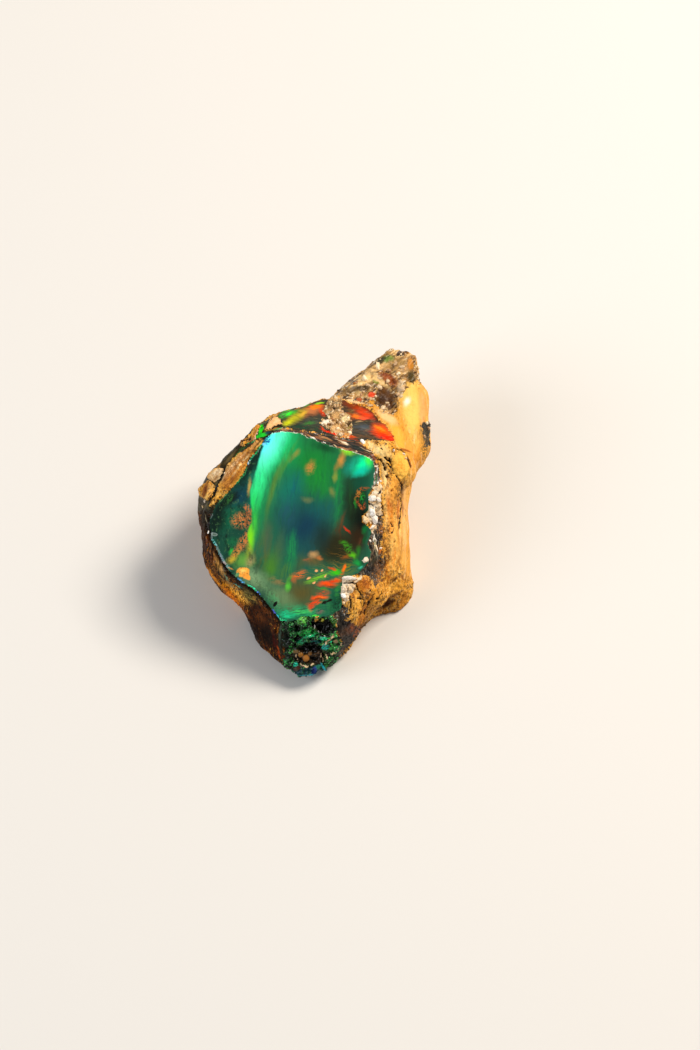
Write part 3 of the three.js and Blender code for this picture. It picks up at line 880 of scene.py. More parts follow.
# What gives opal its fire: patches of pure colour, each written as with_patches takes it.
WINDOW_FIRE = [
    (1.9, 7.2, 6.4, 5.4, 0, 1.0, 1.0, "#12762C"),
    (-0.6, 8.6, 3.6, 2.2, 60, 1.0, 0.9, "#129048"),
    (-2.2, 5.4, 4.6, 1.2, 78, 1.0, 0.75, "#40783A", "down"),
    (-0.6, 3.9, 4.4, 2.6, 80, 1.0, 0.9, "#0F6A58"),
    (0.2, 4.6, 2.6, 1.2, 80, 1.0, 0.6, "#0E5568", "down"),
    (2.9, 4.9, 4.6, 2.4, 85, 1.0, 0.9, "#16802A", "down"),
    (1.3, -0.3, 5.6, 4.8, 80, 1.0, 1.0, "#0E3446"),
    (3.1, 1.9, 2.6, 1.8, 0, 1.0, 0.6, "#0C5058", "down"),
    (-0.9, 1.4, 3.2, 1.8, 80, 1.0, 0.7, "#1D4658", "down"),
    (5.2, 3.4, 5.0, 1.0, 88, 1.0, 0.9, "#16883A", "down"),
    (6.9, 2.4, 6.4, 2.2, 88, 0.8, 0.97, "#16200F"),
    (7.7, 0.4, 4.6, 1.6, 84, 0.9, 0.95, "#050E07"),
    (7.7, 5.0, 2.2, 1.5, 60, 1.0, 0.95, "#0C4430"),
    (6.7, 3.4, 3.2, 1.0, 86, 1.0, 0.6, "#1C4A24", "down"),
    (5.2, -2.7, 4.6, 3.4, 0, 0.8, 0.97, "#24200C"),
    (3.4, -1.2, 2.6, 1.6, 80, 1.0, 0.8, "#142A2A"),
    (7.4, -1.6, 2.4, 1.6, 80, 0.9, 0.9, "#2C1A08"),
    (5.4, -0.6, 1.8, 0.9, 85, 1.0, 0.8, "#4A2A12", "down"),
    (7.7, -2.2, 1.2, 0.5, 85, 1.0, 0.8, "#54301A", "down"),
    (-0.4, -3.2, 3.6, 1.1, 82, 1.0, 0.9, "#1A9044", "down"),
    (-1.9, -2.8, 3.4, 1.0, 80, 1.0, 0.75, "#3A5A3C"),
    (-3.9, -3.4, 4.6, 1.6, 82, 1.0, 0.85, "#525A22", "down"),
    (-2.9, -5.0, 3.2, 1.4, 75, 1.0, 0.85, "#42761C"),
    (-3.3, -1.2, 3.0, 0.9, 85, 1.0, 0.7, "#44543E"),
    (1.3, -3.2, 3.4, 1.7, 70, 1.0, 0.8, "#16464A", "down"),
    (0.8, -7.9, 3.8, 2.8, 0, 1.0, 0.9, "#54481E"),
    (-4.6, -6.6, 3.4, 2.2, -40, 1.0, 0.9, "#74986A"),
    (-2.2, -8.6, 3.4, 2.0, -25, 1.0, 0.8, "#74905E"),
    (-0.3, -10.2, 4.4, 1.3, -3, 1.0, 0.95, "#1FA868", "across"),
    (4.1, -9.5, 2.8, 1.8, 0, 1.0, 0.9, "#236E3E", "across"),
    (-1.2, -10.5, 1.8, 0.8, -5, 1.0, 1.0, "#1CF0A4", "across"),
    (-1.0, -10.8, 0.9, 0.35, -5, 0.9, 1.0, "#20FFA8"),
    (0.8, -10.2, 1.6, 0.5, -5, 0.9, 0.9, "#3CB858", "across"),
    (-2.6, -9.0, 1.8, 1.1, -55, 0.9, 0.85, "#5CC078", "speckle"),
    (-4.0, -7.6, 2.0, 0.9, -35, 0.9, 0.8, "#84B070", "speckle"),
    (0.6, -4.4, 1.8, 1.0, 70, 1.0, 0.8, "#3A5230"),
    (2.1, -4.3, 1.8, 0.9, 0, 1.0, 0.85, "#5C5028"),
    (-1.2, -5.4, 1.6, 1.2, 60, 1.0, 0.8, "#4A7028", "down"),
    (3.5, 9.3, 2.2, 0.9, -15, 1.0, 0.8, "#0A3A1C"),
    (6.5, 7.0, 1.4, 1.3, 0, 1.0, 0.8, "#0C5236"),
    (7.8, 7.1, 2.0, 1.6, 40, 1.0, 1.0, "#00D890"),
    (8.2, 7.3, 1.1, 0.8, 40, 1.0, 0.9, "#08F49C", "wisp"),
    (7.8, 6.3, 1.6, 0.8, 30, 1.0, 0.8, "#04BCA0"),
    (6.6, 7.0, 1.6, 1.2, 60, 1.0, 0.7, "#189078"),
    (8.6, 7.4, 1.2, 0.7, -60, 1.0, 0.95, "#3CE444"),
    (6.2, 8.7, 1.3, 0.7, -15, 1.0, 1.0, "#8CD828"),
    (5.5, 7.8, 1.3, 0.6, 80, 1.0, 0.85, "#C88438"),
    (5.0, 6.9, 1.0, 0.5, 60, 1.0, 0.6, "#9A7434"),
    (1.7, 6.9, 1.3, 0.8, 65, 1.0, 0.55, "#B07434"),
    (1.8, 6.8, 1.3, 0.8, 65, 1.0, 0.6, "#C8803C", "speckle"),
    (0.2, 8.4, 1.1, 0.5, 60, 1.0, 0.7, "#8E8034"),
    (-0.4, 7.7, 0.9, 0.4, 60, 1.0, 0.5, "#7A7A30"),
    (4.7, 5.7, 1.0, 0.5, 80, 1.0, 0.55, "#9A9A34"),
    (4.3, 3.8, 0.9, 0.6, -70, 1.0, 0.4, "#A08C40"),
    (1.5, 2.9, 1.1, 0.5, -5, 1.0, 0.32, "#8A8444"),
    (2.2, -3.5, 0.9, 0.7, 20, 1.0, 0.9, "#B48A56"),
    (2.9, -3.9, 0.8, 0.4, 0, 1.0, 0.8, "#B86A30"),
    (1.5, -4.1, 1.0, 0.35, 0, 1.0, 0.75, "#8A5630", "across"),
    (5.4, -3.7, 2.4, 1.5, -10, 1.0, 0.75, "#8A6420", "hatch"),
    (4.4, -5.4, 3.6, 1.4, 5, 0.9, 0.7, "#8A7A20", "hatch"),
    (6.0, -3.8, 0.8, 0.3, 20, 1.0, 0.8, "#8A4A14"),
    (6.3, -5.0, 1.4, 0.7, -5, 1.0, 0.9, "#6A7018", "across"),
    (0.4, -5.8, 1.4, 0.7, 10, 0.9, 0.95, "#DC6420", "across"),
    (-0.2, -6.3, 0.9, 0.5, -60, 1.0, 0.8, "#A85828"),
    (-2.2, -6.6, 1.6, 0.7, -15, 1.0, 0.6, "#947040", "across"),
    (-0.9, -7.2, 1.0, 0.6, 70, 1.0, 0.9, "#50B834"),
    (-0.7, -6.2, 0.8, 0.4, 60, 1.0, 0.7, "#4E9A34"),
    (2.7, -6.2, 2.0, 0.6, 20, 0.8, 0.95, "#6CB024", "across"),
    (4.8, -5.5, 1.1, 0.6, 10, 0.9, 1.0, "#36B40E"),
    (3.9, -6.95, 1.6, 0.5, 2, 0.8, 1.0, "#E4480C"),
    (4.3, -7.2, 1.6, 0.4, 2, 0.9, 0.8, "#5A3A14", "across"),
    (4.7, -6.5, 0.9, 0.24, 8, 0.8, 1.0, "#D23808"),
    (3.3, -7.5, 1.2, 0.22, -4, 0.8, 0.9, "#3A8030", "across"),
    (3.5, -7.95, 1.2, 0.45, 8, 0.9, 0.95, "#B8441C", "across"),
    (3.0, -8.6, 1.5, 0.42, 8, 0.7, 1.0, "#E84C10"),
    (3.3, -8.55, 0.8, 0.2, 8, 0.8, 1.0, "#F86C1C"),
    (2.8, -8.8, 1.4, 0.3, 8, 0.9, 0.8, "#5A3A14", "across"),
    (2.3, -9.2, 1.2, 0.38, 4, 0.7, 1.0, "#D84414", "across"),
    (1.9, -9.5, 0.9, 0.5, 60, 0.8, 1.0, "#CC3E14", "across"),
    (4.8, -8.8, 2.2, 0.8, 85, 0.9, 0.9, "#0C4A30"),
    (5.0, -9.4, 1.8, 0.9, 60, 0.9, 0.85, "#0A2818", "speckle"),
    (5.1, -7.6, 1.6, 0.5, 88, 0.9, 0.8, "#2A7A34", "across"),
    (2.8, -10.3, 0.9, 0.35, 0, 0.9, 0.85, "#6E5A54", "across"),
    (2.2, -10.75, 0.9, 0.3, 0, 0.8, 0.95, "#44D040", "across"),
    (5.0, -6.4, 1.0, 0.4, 0, 0.8, 0.8, "#C86020", "across"),
    (5.8, -5.0, 0.6, 0.3, 70, 0.9, 1.0, "#F06A0C"),
    (5.5, -5.7, 0.8, 0.35, 50, 0.9, 0.9, "#B85A14", "across"),
    (4.4, -5.1, 0.8, 0.2, -8, 0.9, 0.95, "#CC4A10"),
    (5.8, -2.3, 1.0, 0.4, -25, 1.0, 0.8, "#3C8C18", "across"),
    (6.3, -2.9, 1.4, 0.6, -60, 1.0, 0.85, "#34821C", "speckle"),
    (6.8, -3.7, 0.7, 0.45, -10, 1.0, 1.0, "#54AC14"),
    (7.5, -3.3, 1.1, 0.5, 80, 1.0, 0.8, "#24701C"),
    (7.4, -4.4, 0.9, 0.55, -10, 1.0, 0.9, "#109038"),
    (7.8, -4.9, 0.5, 0.25, 30, 0.9, 0.9, "#3AB890"),
    (6.2, -0.65, 0.75, 0.2, -50, 0.9, 0.95, "#C42C08"),
    (5.7, 0.6, 1.6, 0.3, 80, 1.0, 0.6, "#6A3A18", "down"),
    (7.8, 3.3, 1.2, 0.8, 60, 0.8, 0.95, "#0E2C10"),
    (8.1, 4.15, 0.9, 0.3, 12, 0.9, 0.9, "#A04A1A", "speckle"),
    (7.5, 3.6, 0.9, 0.4, 60, 0.9, 0.95, "#B8742A", "speckle"),
    (7.35, 2.9, 0.8, 0.3, 95, 0.9, 0.9, "#8A3A20", "speckle"),
    (7.65, 2.3, 0.7, 0.3, -45, 0.9, 0.9, "#B8602A", "speckle"),
    (8.2, 2.4, 0.5, 0.3, 50, 0.9, 0.8, "#A84A1C", "speckle"),
    (7.95, 3.2, 0.7, 0.4, 80, 0.9, 0.9, "#1E9032", "speckle"),
    (7.1, 2.6, 0.9, 0.2, 85, 0.9, 0.8, "#1E7A24", "down"),
    (7.9, 1.4, 1.0, 0.7, 80, 0.8, 0.9, "#080E06"),
    (8.2, -0.4, 0.9, 0.6, 70, 0.8, 0.95, "#0A5C28"),
    (8.3, -1.6, 0.9, 0.4, 80, 0.8, 0.9, "#0A4A20"),
    (3.6, -9.2, 0.6, 0.16, 25, 0.5, 1.0, "#100C06"),
    (4.2, -8.9, 0.45, 0.2, 30, 0.5, 1.0, "#100C06"),
]
PEACH_DOTS = [(2.4, -5.4), (3.1, -5.4), (1.6, -6.2), (2.2, -6.8), (3.6, -6.0)]
WINDOW_FIRE += [(x, y, 0.24, 0.17, 20, 0.7, 0.95, "#F4AC70") for x, y in PEACH_DOTS]
# The broad bright band down the left of the window, straight once its bend is taken out.
BAND_BEND = (0.063, 0.0226)  # how much of y, and of y squared
BAND_FIRE = [
    (-5.0, 4.6, 9.0, 3.0, 90, 1.0, 0.9, "#169048", "wisp"),
    (-5.3, 9.2, 4.8, 3.4, 90, 1.0, 1.0, "#20F088", "wisp"),
    (-5.5, 9.2, 4.8, 2.3, 90, 1.0, 1.0, "#64FFDC"),
    (-5.3, 4.8, 4.0, 1.9, 90, 1.0, 1.0, "#34E48C", "wisp"),
    (-5.3, 2.2, 3.4, 1.5, 90, 1.0, 0.9, "#22C858", "wisp"),
    (-5.2, 0.0, 3.0, 1.3, 90, 1.0, 0.9, "#44C030", "wisp"),
    (-5.2, -1.6, 2.2, 0.7, 90, 0.9, 1.0, "#74CC18"),
    (-3.3, 4.6, 5.6, 0.5, 88, 1.0, 0.6, "#5A7A28"),
    (-2.7, 7.4, 3.6, 0.4, 86, 1.0, 0.5, "#4E8A28"),
    (-5.9, 9.6, 2.4, 0.5, 82, 1.0, 0.95, "#5AF0FF"),
]
# The side facet's own fire, and the fine mottling all over it.
SIDE_FIRE = [
    (-5.4, 6.8, 4.8, 1.2, 58, 1.0, 0.97, "#07201A"),
    (-6.4, 3.4, 2.6, 1.5, 55, 1.0, 0.95, "#0C3A48"),
    (-5.3, 2.4, 2.0, 0.7, 72, 1.0, 0.8, "#14604E"),
    (-5.1, 5.4, 2.0, 0.6, 72, 1.0, 0.8, "#146A54"),
    (-5.35, 4.5, 1.5, 0.34, 84, 1.0, 0.95, "#B09048"),
    (-5.9, 6.6, 1.6, 0.5, 60, 0.8, 0.8, "#4A3420", "speckle"),
    (-7.6, 3.0, 1.9, 0.8, 40, 0.8, 0.95, "#0A100A"),
    (-7.9, 2.9, 1.6, 0.5, 50, 0.8, 0.8, "#3A7A3A", "speckle"),
    (-7.7, 0.8, 3.0, 1.7, 40, 1.0, 0.95, "#0C5A3C"),
    (-9.3, 0.2, 2.6, 1.5, 60, 0.8, 0.95, "#071A14"),
    (-8.7, 2.1, 3.0, 0.9, 55, 1.0, 0.97, "#06120E"),
    (-8.7, -4.0, 2.6, 0.6, -55, 1.0, 0.9, "#4E9088"),
    (-7.3, -2.0, 1.4, 1.0, 0, 1.0, 0.8, "#146038"),
    (-6.0, -4.2, 2.2, 1.6, 0, 1.0, 0.95, "#5A9238"),
    (-5.2, -2.8, 1.8, 0.9, 80, 1.0, 0.9, "#98A428"),
    (-5.2, -4.2, 1.2, 0.8, 60, 1.0, 0.8, "#9A845A"),
    (-7.5, -3.1, 0.7, 0.4, 60, 0.9, 0.95, "#28A038"),
    (-7.4, -4.0, 1.2, 0.6, 40, 1.0, 0.95, "#B09C28"),
    (-4.9, -6.2, 2.6, 1.7, -30, 1.0, 0.95, "#749468"),
    (-6.2, 0.6, 1.7, 1.3, 15, 0.7, 1.0, "#C4753A", "speckle"),
    (-5.5, 1.8, 1.1, 0.5, 110, 0.8, 0.95, "#BC6A3A", "speckle"),
    (-6.0, -1.9, 2.4, 0.8, 55, 0.8, 0.95, "#C07438", "speckle"),
    (-7.0, -3.4, 1.2, 0.5, 50, 0.8, 0.9, "#C88838", "speckle"),
    (-6.1, -5.5, 0.85, 0.62, 5, 0.25, 1.0, "#F0A03C"),
    (-5.75, -6.0, 0.7, 0.42, -55, 0.25, 1.0, "#EC9838"),
    (-6.1, -5.35, 0.6, 0.4, 0, 1.0, 0.9, "#FFC460"),
    (-6.75, -5.8, 0.4, 0.25, 30, 0.4, 1.0, "#5C8A5A"),
    (-7.5, -5.15, 0.5, 0.12, -10, 0.7, 0.9, "#C8843C"),
]
SIDE_MOTTLE = [
    (0.9, (0.7, 1.4, 1), 0.5, 0.66, 0.6, "#0A1C14", 3),
    (0.4, (0.8, 1.3, 1), 0.56, 0.7, 0.5, "#4E7A48", 7),
    (0.3, (1, 1, 1), 0.56, 0.68, 0.5, "#050C08", 13),
]
# Thin flashes that hug the window's lower and left edges, where the polish rounds it over.
EDGE_FIRE = [
    (-3.2, 10.0, 0.8, 0.5, 60, 0.5, 0.95, "#0E5C98", "speckle"),
    (-3.6, 9.5, 0.35, 0.25, 0, 0.7, 0.9, "#70D0FF"),
    (-4.3, 9.0, 1.0, 0.6, 45, 0.3, 0.95, "#2CB864", "edge"),
    (-5.2, 7.8, 0.8, 0.6, 55, 0.3, 0.95, "#30A870", "edge"),
    (-5.4, 7.4, 0.3, 0.4, 0, 0.5, 1.0, "#C8D8F0", "edge"),
    (-6.3, 5.8, 1.3, 0.6, 55, 0.3, 0.9, "#2C9050", "edge"),
    (-8.5, 3.2, 0.9, 0.6, 40, 0.3, 0.8, "#5C8A4A", "edge"),
    (-9.5, -2.2, 0.7, 0.6, -60, 0.3, 1.0, "#58B0AC", "edge"),
    (-8.7, -3.8, 0.8, 0.5, -55, 0.4, 0.95, "#5C566C", "edge"),
    (-8.3, -4.5, 0.3, 0.3, 0, 0.5, 0.9, "#D0A0A0", "edge"),
    (-6.3, -6.5, 0.6, 0.6, -30, 0.4, 1.0, "#4E9CD0", "edge"),
    (-5.0, -7.4, 0.8, 0.5, -38, 0.4, 1.0, "#38E0A4", "edge"),
    (-4.3, -8.0, 0.35, 0.4, 0, 0.5, 1.0, "#5078D0", "edge"),
    (-2.5, -10.3, 0.4, 0.5, 0, 0.5, 1.0, "#4450B8", "edge"),
    (-2.1, -10.8, 0.4, 0.4, 0, 0.5, 1.0, "#10C0C8", "edge"),
    (-1.4, -11.1, 0.6, 0.4, 0, 0.5, 1.0, "#20F09A", "edge"),
    (-2.3, -9.3, 0.42, 0.22, 60, 0.3, 1.0, "#060604"),
    (-9.5, -1.1, 0.42, 0.24, -10, 0.3, 0.8, "#8A9A94"),
    (-9.5, -1.1, 0.34, 0.17, -10, 0.3, 0.9, "#48584C"),
]
# Fine upright fibres seen all through the clear opal, drawn coarser than the real 0.02 mm.
FIBRES = [
    (0.3, (0.5, 7, 1), 0.48, 0.75, 0.14, "#0C2418", 3),
    (0.8, (0.5, 5, 1), 0.48, 0.7, 0.2, "#0A2A20", 19),
]
# The ridge between the window and its side facet: how far left it lies at each height, all within
# RIDGE_SPAN of the window's middle.
RIDGE = [
    (-7.7, -2.9), (-6.4, -3.6), (-4.6, -4.3), (-3.3, -4.9), (-2.3, -5.3), (-0.9, -5.5), (0.6, -5.0),
    (2, -5.1), (3.5, -5.2), (5.4, -4.85), (7.5, -4.25), (10, -3.4),
]
RIDGE_SPAN = 12
RIDGE_TOP = 0.76  # where the ridge's curve ends, as a part of the span from the left


def along_band(tree, x, y):
    """The place with the band's bend taken out of it."""
    square = add(tree, "Math", {0: y, 1: y}, operation="MULTIPLY").outputs[0]
    bend = add(tree, "Math", {0: square, 1: BAND_BEND[1]}, operation="MULTIPLY").outputs[0]
    bend = add(tree, "Math", {0: y, 1: BAND_BEND[0], 2: bend}, operation="MULTIPLY_ADD").outputs[0]
    straight = add(tree, "Math", {0: x, 1: bend}, operation="SUBTRACT").outputs[0]
    return add(tree, "CombineXYZ", {0: straight, 1: y}).outputs[0]


def right_of_ridge(tree, x, y):
    """0 on the side facet and 1 on the window, with a softer change further down."""
    up = add(tree, "MapRange", {"Value": y, "From Min": -RIDGE_SPAN, "From Max": RIDGE_SPAN})
    ridge = add(tree, "FloatCurve", {"Value": up.outputs[0]})
    points = ridge.mapping.curves[0].points
    points[0].location = (0, 1)
    points[1].location = (1, RIDGE_TOP)
    for height, left in RIDGE:
        points.new((height + RIDGE_SPAN) / (2 * RIDGE_SPAN), (left + RIDGE_SPAN) / RIDGE_SPAN)
    ridge.mapping.update()
    ridge_x = add(
        tree,
        "Math",
        {0: ridge.outputs[0], 1: RIDGE_SPAN, 2: -RIDGE_SPAN},
        operation="MULTIPLY_ADD",
    )
    past = add(tree, "Math", {0: x, 1: ridge_x.outputs[0]}, operation="SUBTRACT").outputs[0]
    softness = add(
        tree,
        "MapRange",
        {"Value": y, "From Min": -2, "From Max": -7, "To Min": 0.12, "To Max": 1.6},
    ).outputs[0]
    past = add(tree, "Math", {0: past, 1: softness}, operation="DIVIDE").outputs[0]
    return add(tree, "MapRange", {"Value": past, "From Min": -1, "From Max": 1}).outputs[0]


def polished_opal():
    """Precious opal, sawn flat and polished: deep clear colours under a wet gloss."""
    material, tree, shader, place = new_material(
        "polished_precious_opal",
        Roughness=0.4,
        Specular_IOR_Level=0.0,
        Coat_Weight=0.7,
        Coat_Roughness=0.03,
        Coat_IOR=1.45,
        # A painted glow: the opal gives off a little of its own colours, though it is no lamp.
        Emission_Strength=0.25,
    )
    wisps = warped(tree, warped(tree, place, 3.2, 0.7), 0.6, 0.2)
    grains = grains_for(tree, wisps, WINDOW_FIRE + BAND_FIRE + SIDE_FIRE + EDGE_FIRE)
    axes = add(tree, "SeparateXYZ", {0: warped(tree, place, 2.4, 0.25)})
    x, y = axes.outputs[0], axes.outputs[1]
    main = with_patches(tree, wisps, linear("#1C5A40"), WINDOW_FIRE, grains)
    main = with_patches(tree, along_band(tree, x, y), main, BAND_FIRE, grains)
    wandering = warped(tree, place, 1.2, 0.3)
    side = with_patches(tree, wandering, linear("#134232"), SIDE_FIRE, grains)
    side = with_stains(tree, place, side, SIDE_MOTTLE)
    faces = {FACTOR: right_of_ridge(tree, x, y), UNDER: side, OVER: main}
    colour = add(tree, "Mix", faces, data_type="RGBA").outputs[MIXED]
    colour = with_stains(tree, wisps, colour, FIBRES)

    hugging = region(tree, "window", 0.2, 0.06)
    grains["edge"] = add(
        tree, "Math", {0: hugging, 1: grains["speckle"]}, operation="MULTIPLY"
    ).outputs[0]
    colour = with_patches(tree, warped(tree, place, 0.5, 0.08), colour, EDGE_FIRE, grains)

    # White chips in the rim, only at the upper right.
    rim = chips_along(tree, place, 1.6, 0.5, 0.62, region(tree, "window", 0.2, 0.05))
    diagonal = add(tree, "Math", {0: x, 1: 0.5, 2: y}, operation="MULTIPLY_ADD").outputs[0]
    here = add(tree, "MapRange", {"Value": diagonal, "From Min": 8, "From Max": 9.5}).outputs[0]
    chips = add(tree, "Math", {0: rim, 1: here}, operation="MULTIPLY").outputs[0]
    chipped = {FACTOR: chips, UNDER: colour, OVER: linear("#E8E4DA")}
    colour = add(tree, "Mix", chipped, data_type="RGBA").outputs[MIXED]
    colour_surface(tree, shader, colour)
    return material


# ---------------------------------------------------------------- the broken window

BROKEN_FIRE = [
    (2.0, 12.3, 2.6, 0.9, 5, 1.0, 0.9, "#3C4438"),
    (1.2, 11.5, 3.4, 0.7, -8, 1.0, 0.95, "#1A3E2C", "across"),
    (1.6, 12.1, 1.1, 0.36, 5, 1.0, 0.9, "#2E6E2C"),
    (8.0, 11.3, 2.8, 1.1, -8, 1.0, 0.95, "#44443E"),
    (7.9, 11.6, 1.6, 0.5, -8, 1.0, 0.8, "#46505A", "across"),
    (7.8, 11.0, 2.2, 0.6, -6, 1.0, 0.7, "#6A4430", "hatch"),
    (8.6, 10.4, 2.6, 0.3, -2, 1.0, 0.8, "#6A4A30", "across"),
    (7.6, 12.3, 0.6, 0.12, 0, 0.7, 0.8, "#A8845A"),
    (7.2, 14.2, 2.8, 0.8, -14, 0.9, 0.95, "#7E300C"),
    (6.6, 13.6, 1.4, 0.5, -15, 1.0, 0.9, "#6A4A24", "across"),
    (8.3, 13.3, 1.9, 0.8, -28, 0.9, 0.97, "#CC3814"),
    (7.2, 12.9, 1.7, 0.5, -12, 0.9, 0.95, "#F0701E", "wisp"),
    (8.1, 12.7, 0.9, 0.3, -5, 0.9, 0.95, "#FF5030"),
    (9.9, 12.6, 1.3, 0.3, -42, 0.8, 0.95, "#241408"),
    (10.4, 11.1, 2.0, 1.1, -30, 0.9, 1.0, "#F85408"),
    (10.8, 10.4, 1.9, 0.5, -20, 0.9, 1.0, "#F4200A"),
    (9.6, 10.9, 1.6, 0.5, -12, 1.0, 0.85, "#B83810", "across"),
    (10.0, 11.5, 1.2, 0.3, -25, 0.8, 0.9, "#FF8420", "across"),
    (4.4, 10.9, 1.9, 0.24, -18, 0.7, 0.97, "#E83010"),
    (6.4, 10.35, 1.4, 0.2, -6, 0.8, 0.95, "#C84818"),
    (7.0, 10.05, 1.2, 0.1, -10, 0.8, 0.85, "#8A3A24"),
    (3.3, 11.4, 0.6, 0.16, -45, 0.7, 0.95, "#C83A18"),
    (1.8, 13.5, 2.2, 0.8, 14, 0.9, 0.95, "#A8643A"),
    (2.4, 14.0, 1.5, 0.4, 8, 0.9, 0.97, "#EC7410"),
    (3.2, 13.4, 0.8, 0.5, -60, 0.9, 0.95, "#D0441A"),
    (2.9, 14.5, 0.8, 0.25, 18, 0.8, 0.95, "#8CC420"),
    (1.2, 14.2, 1.0, 0.25, 15, 0.9, 0.9, "#4A9A28"),
    (0.1, 12.8, 2.2, 0.8, 35, 1.0, 0.9, "#A8A01E"),
    (-0.9, 12.1, 1.2, 0.5, 30, 1.0, 0.9, "#BCC018"),
    (0.9, 13.2, 0.9, 0.3, 30, 1.0, 0.9, "#C89A30"),
    (-0.9, 13.3, 1.8, 0.8, 22, 1.0, 1.0, "#10C418", "wisp"),
    (-0.9, 13.2, 1.0, 0.4, 20, 1.0, 1.0, "#28EC18"),
    (0.4, 13.9, 0.8, 0.3, 15, 0.9, 0.9, "#104A1C"),
]
# Streaks along the layers, where the break runs across them.
BREAK_STREAKS = [
    (0.3, (6, 0.6, 1), 0.48, 0.68, 0.5, "#221A12", 3),
    (0.25, (7, 0.5, 1), 0.55, 0.72, 0.3, "#A09060", 8),
]


def broken_opal():
    """Precious opal where the nodule snapped: dark, glassy, faintly rippled, with red flashes."""
    material, tree, shader, place = new_material(
        "broken_precious_opal",
        Roughness=0.4,
        Specular_IOR_Level=0.0,
        Coat_Weight=0.12,
        Coat_Roughness=0.06,
        # A painted glow: the broken face gives off a little of its own colours.
        Emission_Strength=0.25,
    )
    wisps = warped(tree, warped(tree, place, 2.5, 0.4), 0.5, 0.15)
    dark = linear("#36322A")
    grains = grains_for(tree, wisps, BROKEN_FIRE)
    flashing = with_patches(tree, wisps, dark, BROKEN_FIRE, grains)
    colour = by_region(tree, "facing_out", 0.1, 0.9, dark, flashing)
    colour = with_stains(tree, warped(tree, place, 1.5, 0.3), colour, BREAK_STREAKS)
    colour_surface(tree, shader, colour)
    return material


# ---------------------------------------------------------------- the ochre rind

# Rust and clay in the crusted rind, and in the smooth rind down the right side. Each is written as
# with_stains takes it.
RIND_STAINS = [
    (3.0, (1, 1.3, 1), 0.44, 0.6, 0.8, "#F0AE40", 0),
    (2.2, (1, 1.5, 1), 0.52, 0.64, 0.75, "#A0540A", 4),
    (0.9, (0.7, 1.5, 1), 0.52, 0.64, 0.6, "#F6C468", 8),
    (0.8, (0.6, 1.7, 1), 0.54, 0.63, 0.75, "#743808", 12),
    (0.3, (0.8, 1.3, 1), 0.56, 0.65, 0.55, "#FCD584", 16),
    (0.36, (0.8, 1.4, 1), 0.55, 0.62, 0.9, "#3E1C04", 20),
    (0.22, (0.8, 1.5, 1), 0.55, 0.61, 0.85, "#42200A", 23),
    (0.2, (0.8, 1.3, 1), 0.58, 0.66, 0.5, "#FFE0A0", 27),
]
SMOOTH_STAINS = [
    (4.0, (0.7, 1.8, 1), 0.44, 0.6, 0.6, "#F8C464", 2),
    (1.6, (0.5, 2.6, 1), 0.5, 0.66, 0.5, "#CF7C1C", 6),
    (0.8, (0.45, 3.0, 1), 0.53, 0.68, 0.35, "#FADCB0", 10),
    (0.6, (0.4, 3.0, 1), 0.56, 0.68, 0.4, "#A65A1A", 14),
    (0.45, (0.4, 4.5, 1), 0.53, 0.66, 0.5, "#A8641C", 23),
    (0.25, (0.6, 2.4, 1), 0.56, 0.64, 0.55, "#8A4A14", 19),
]
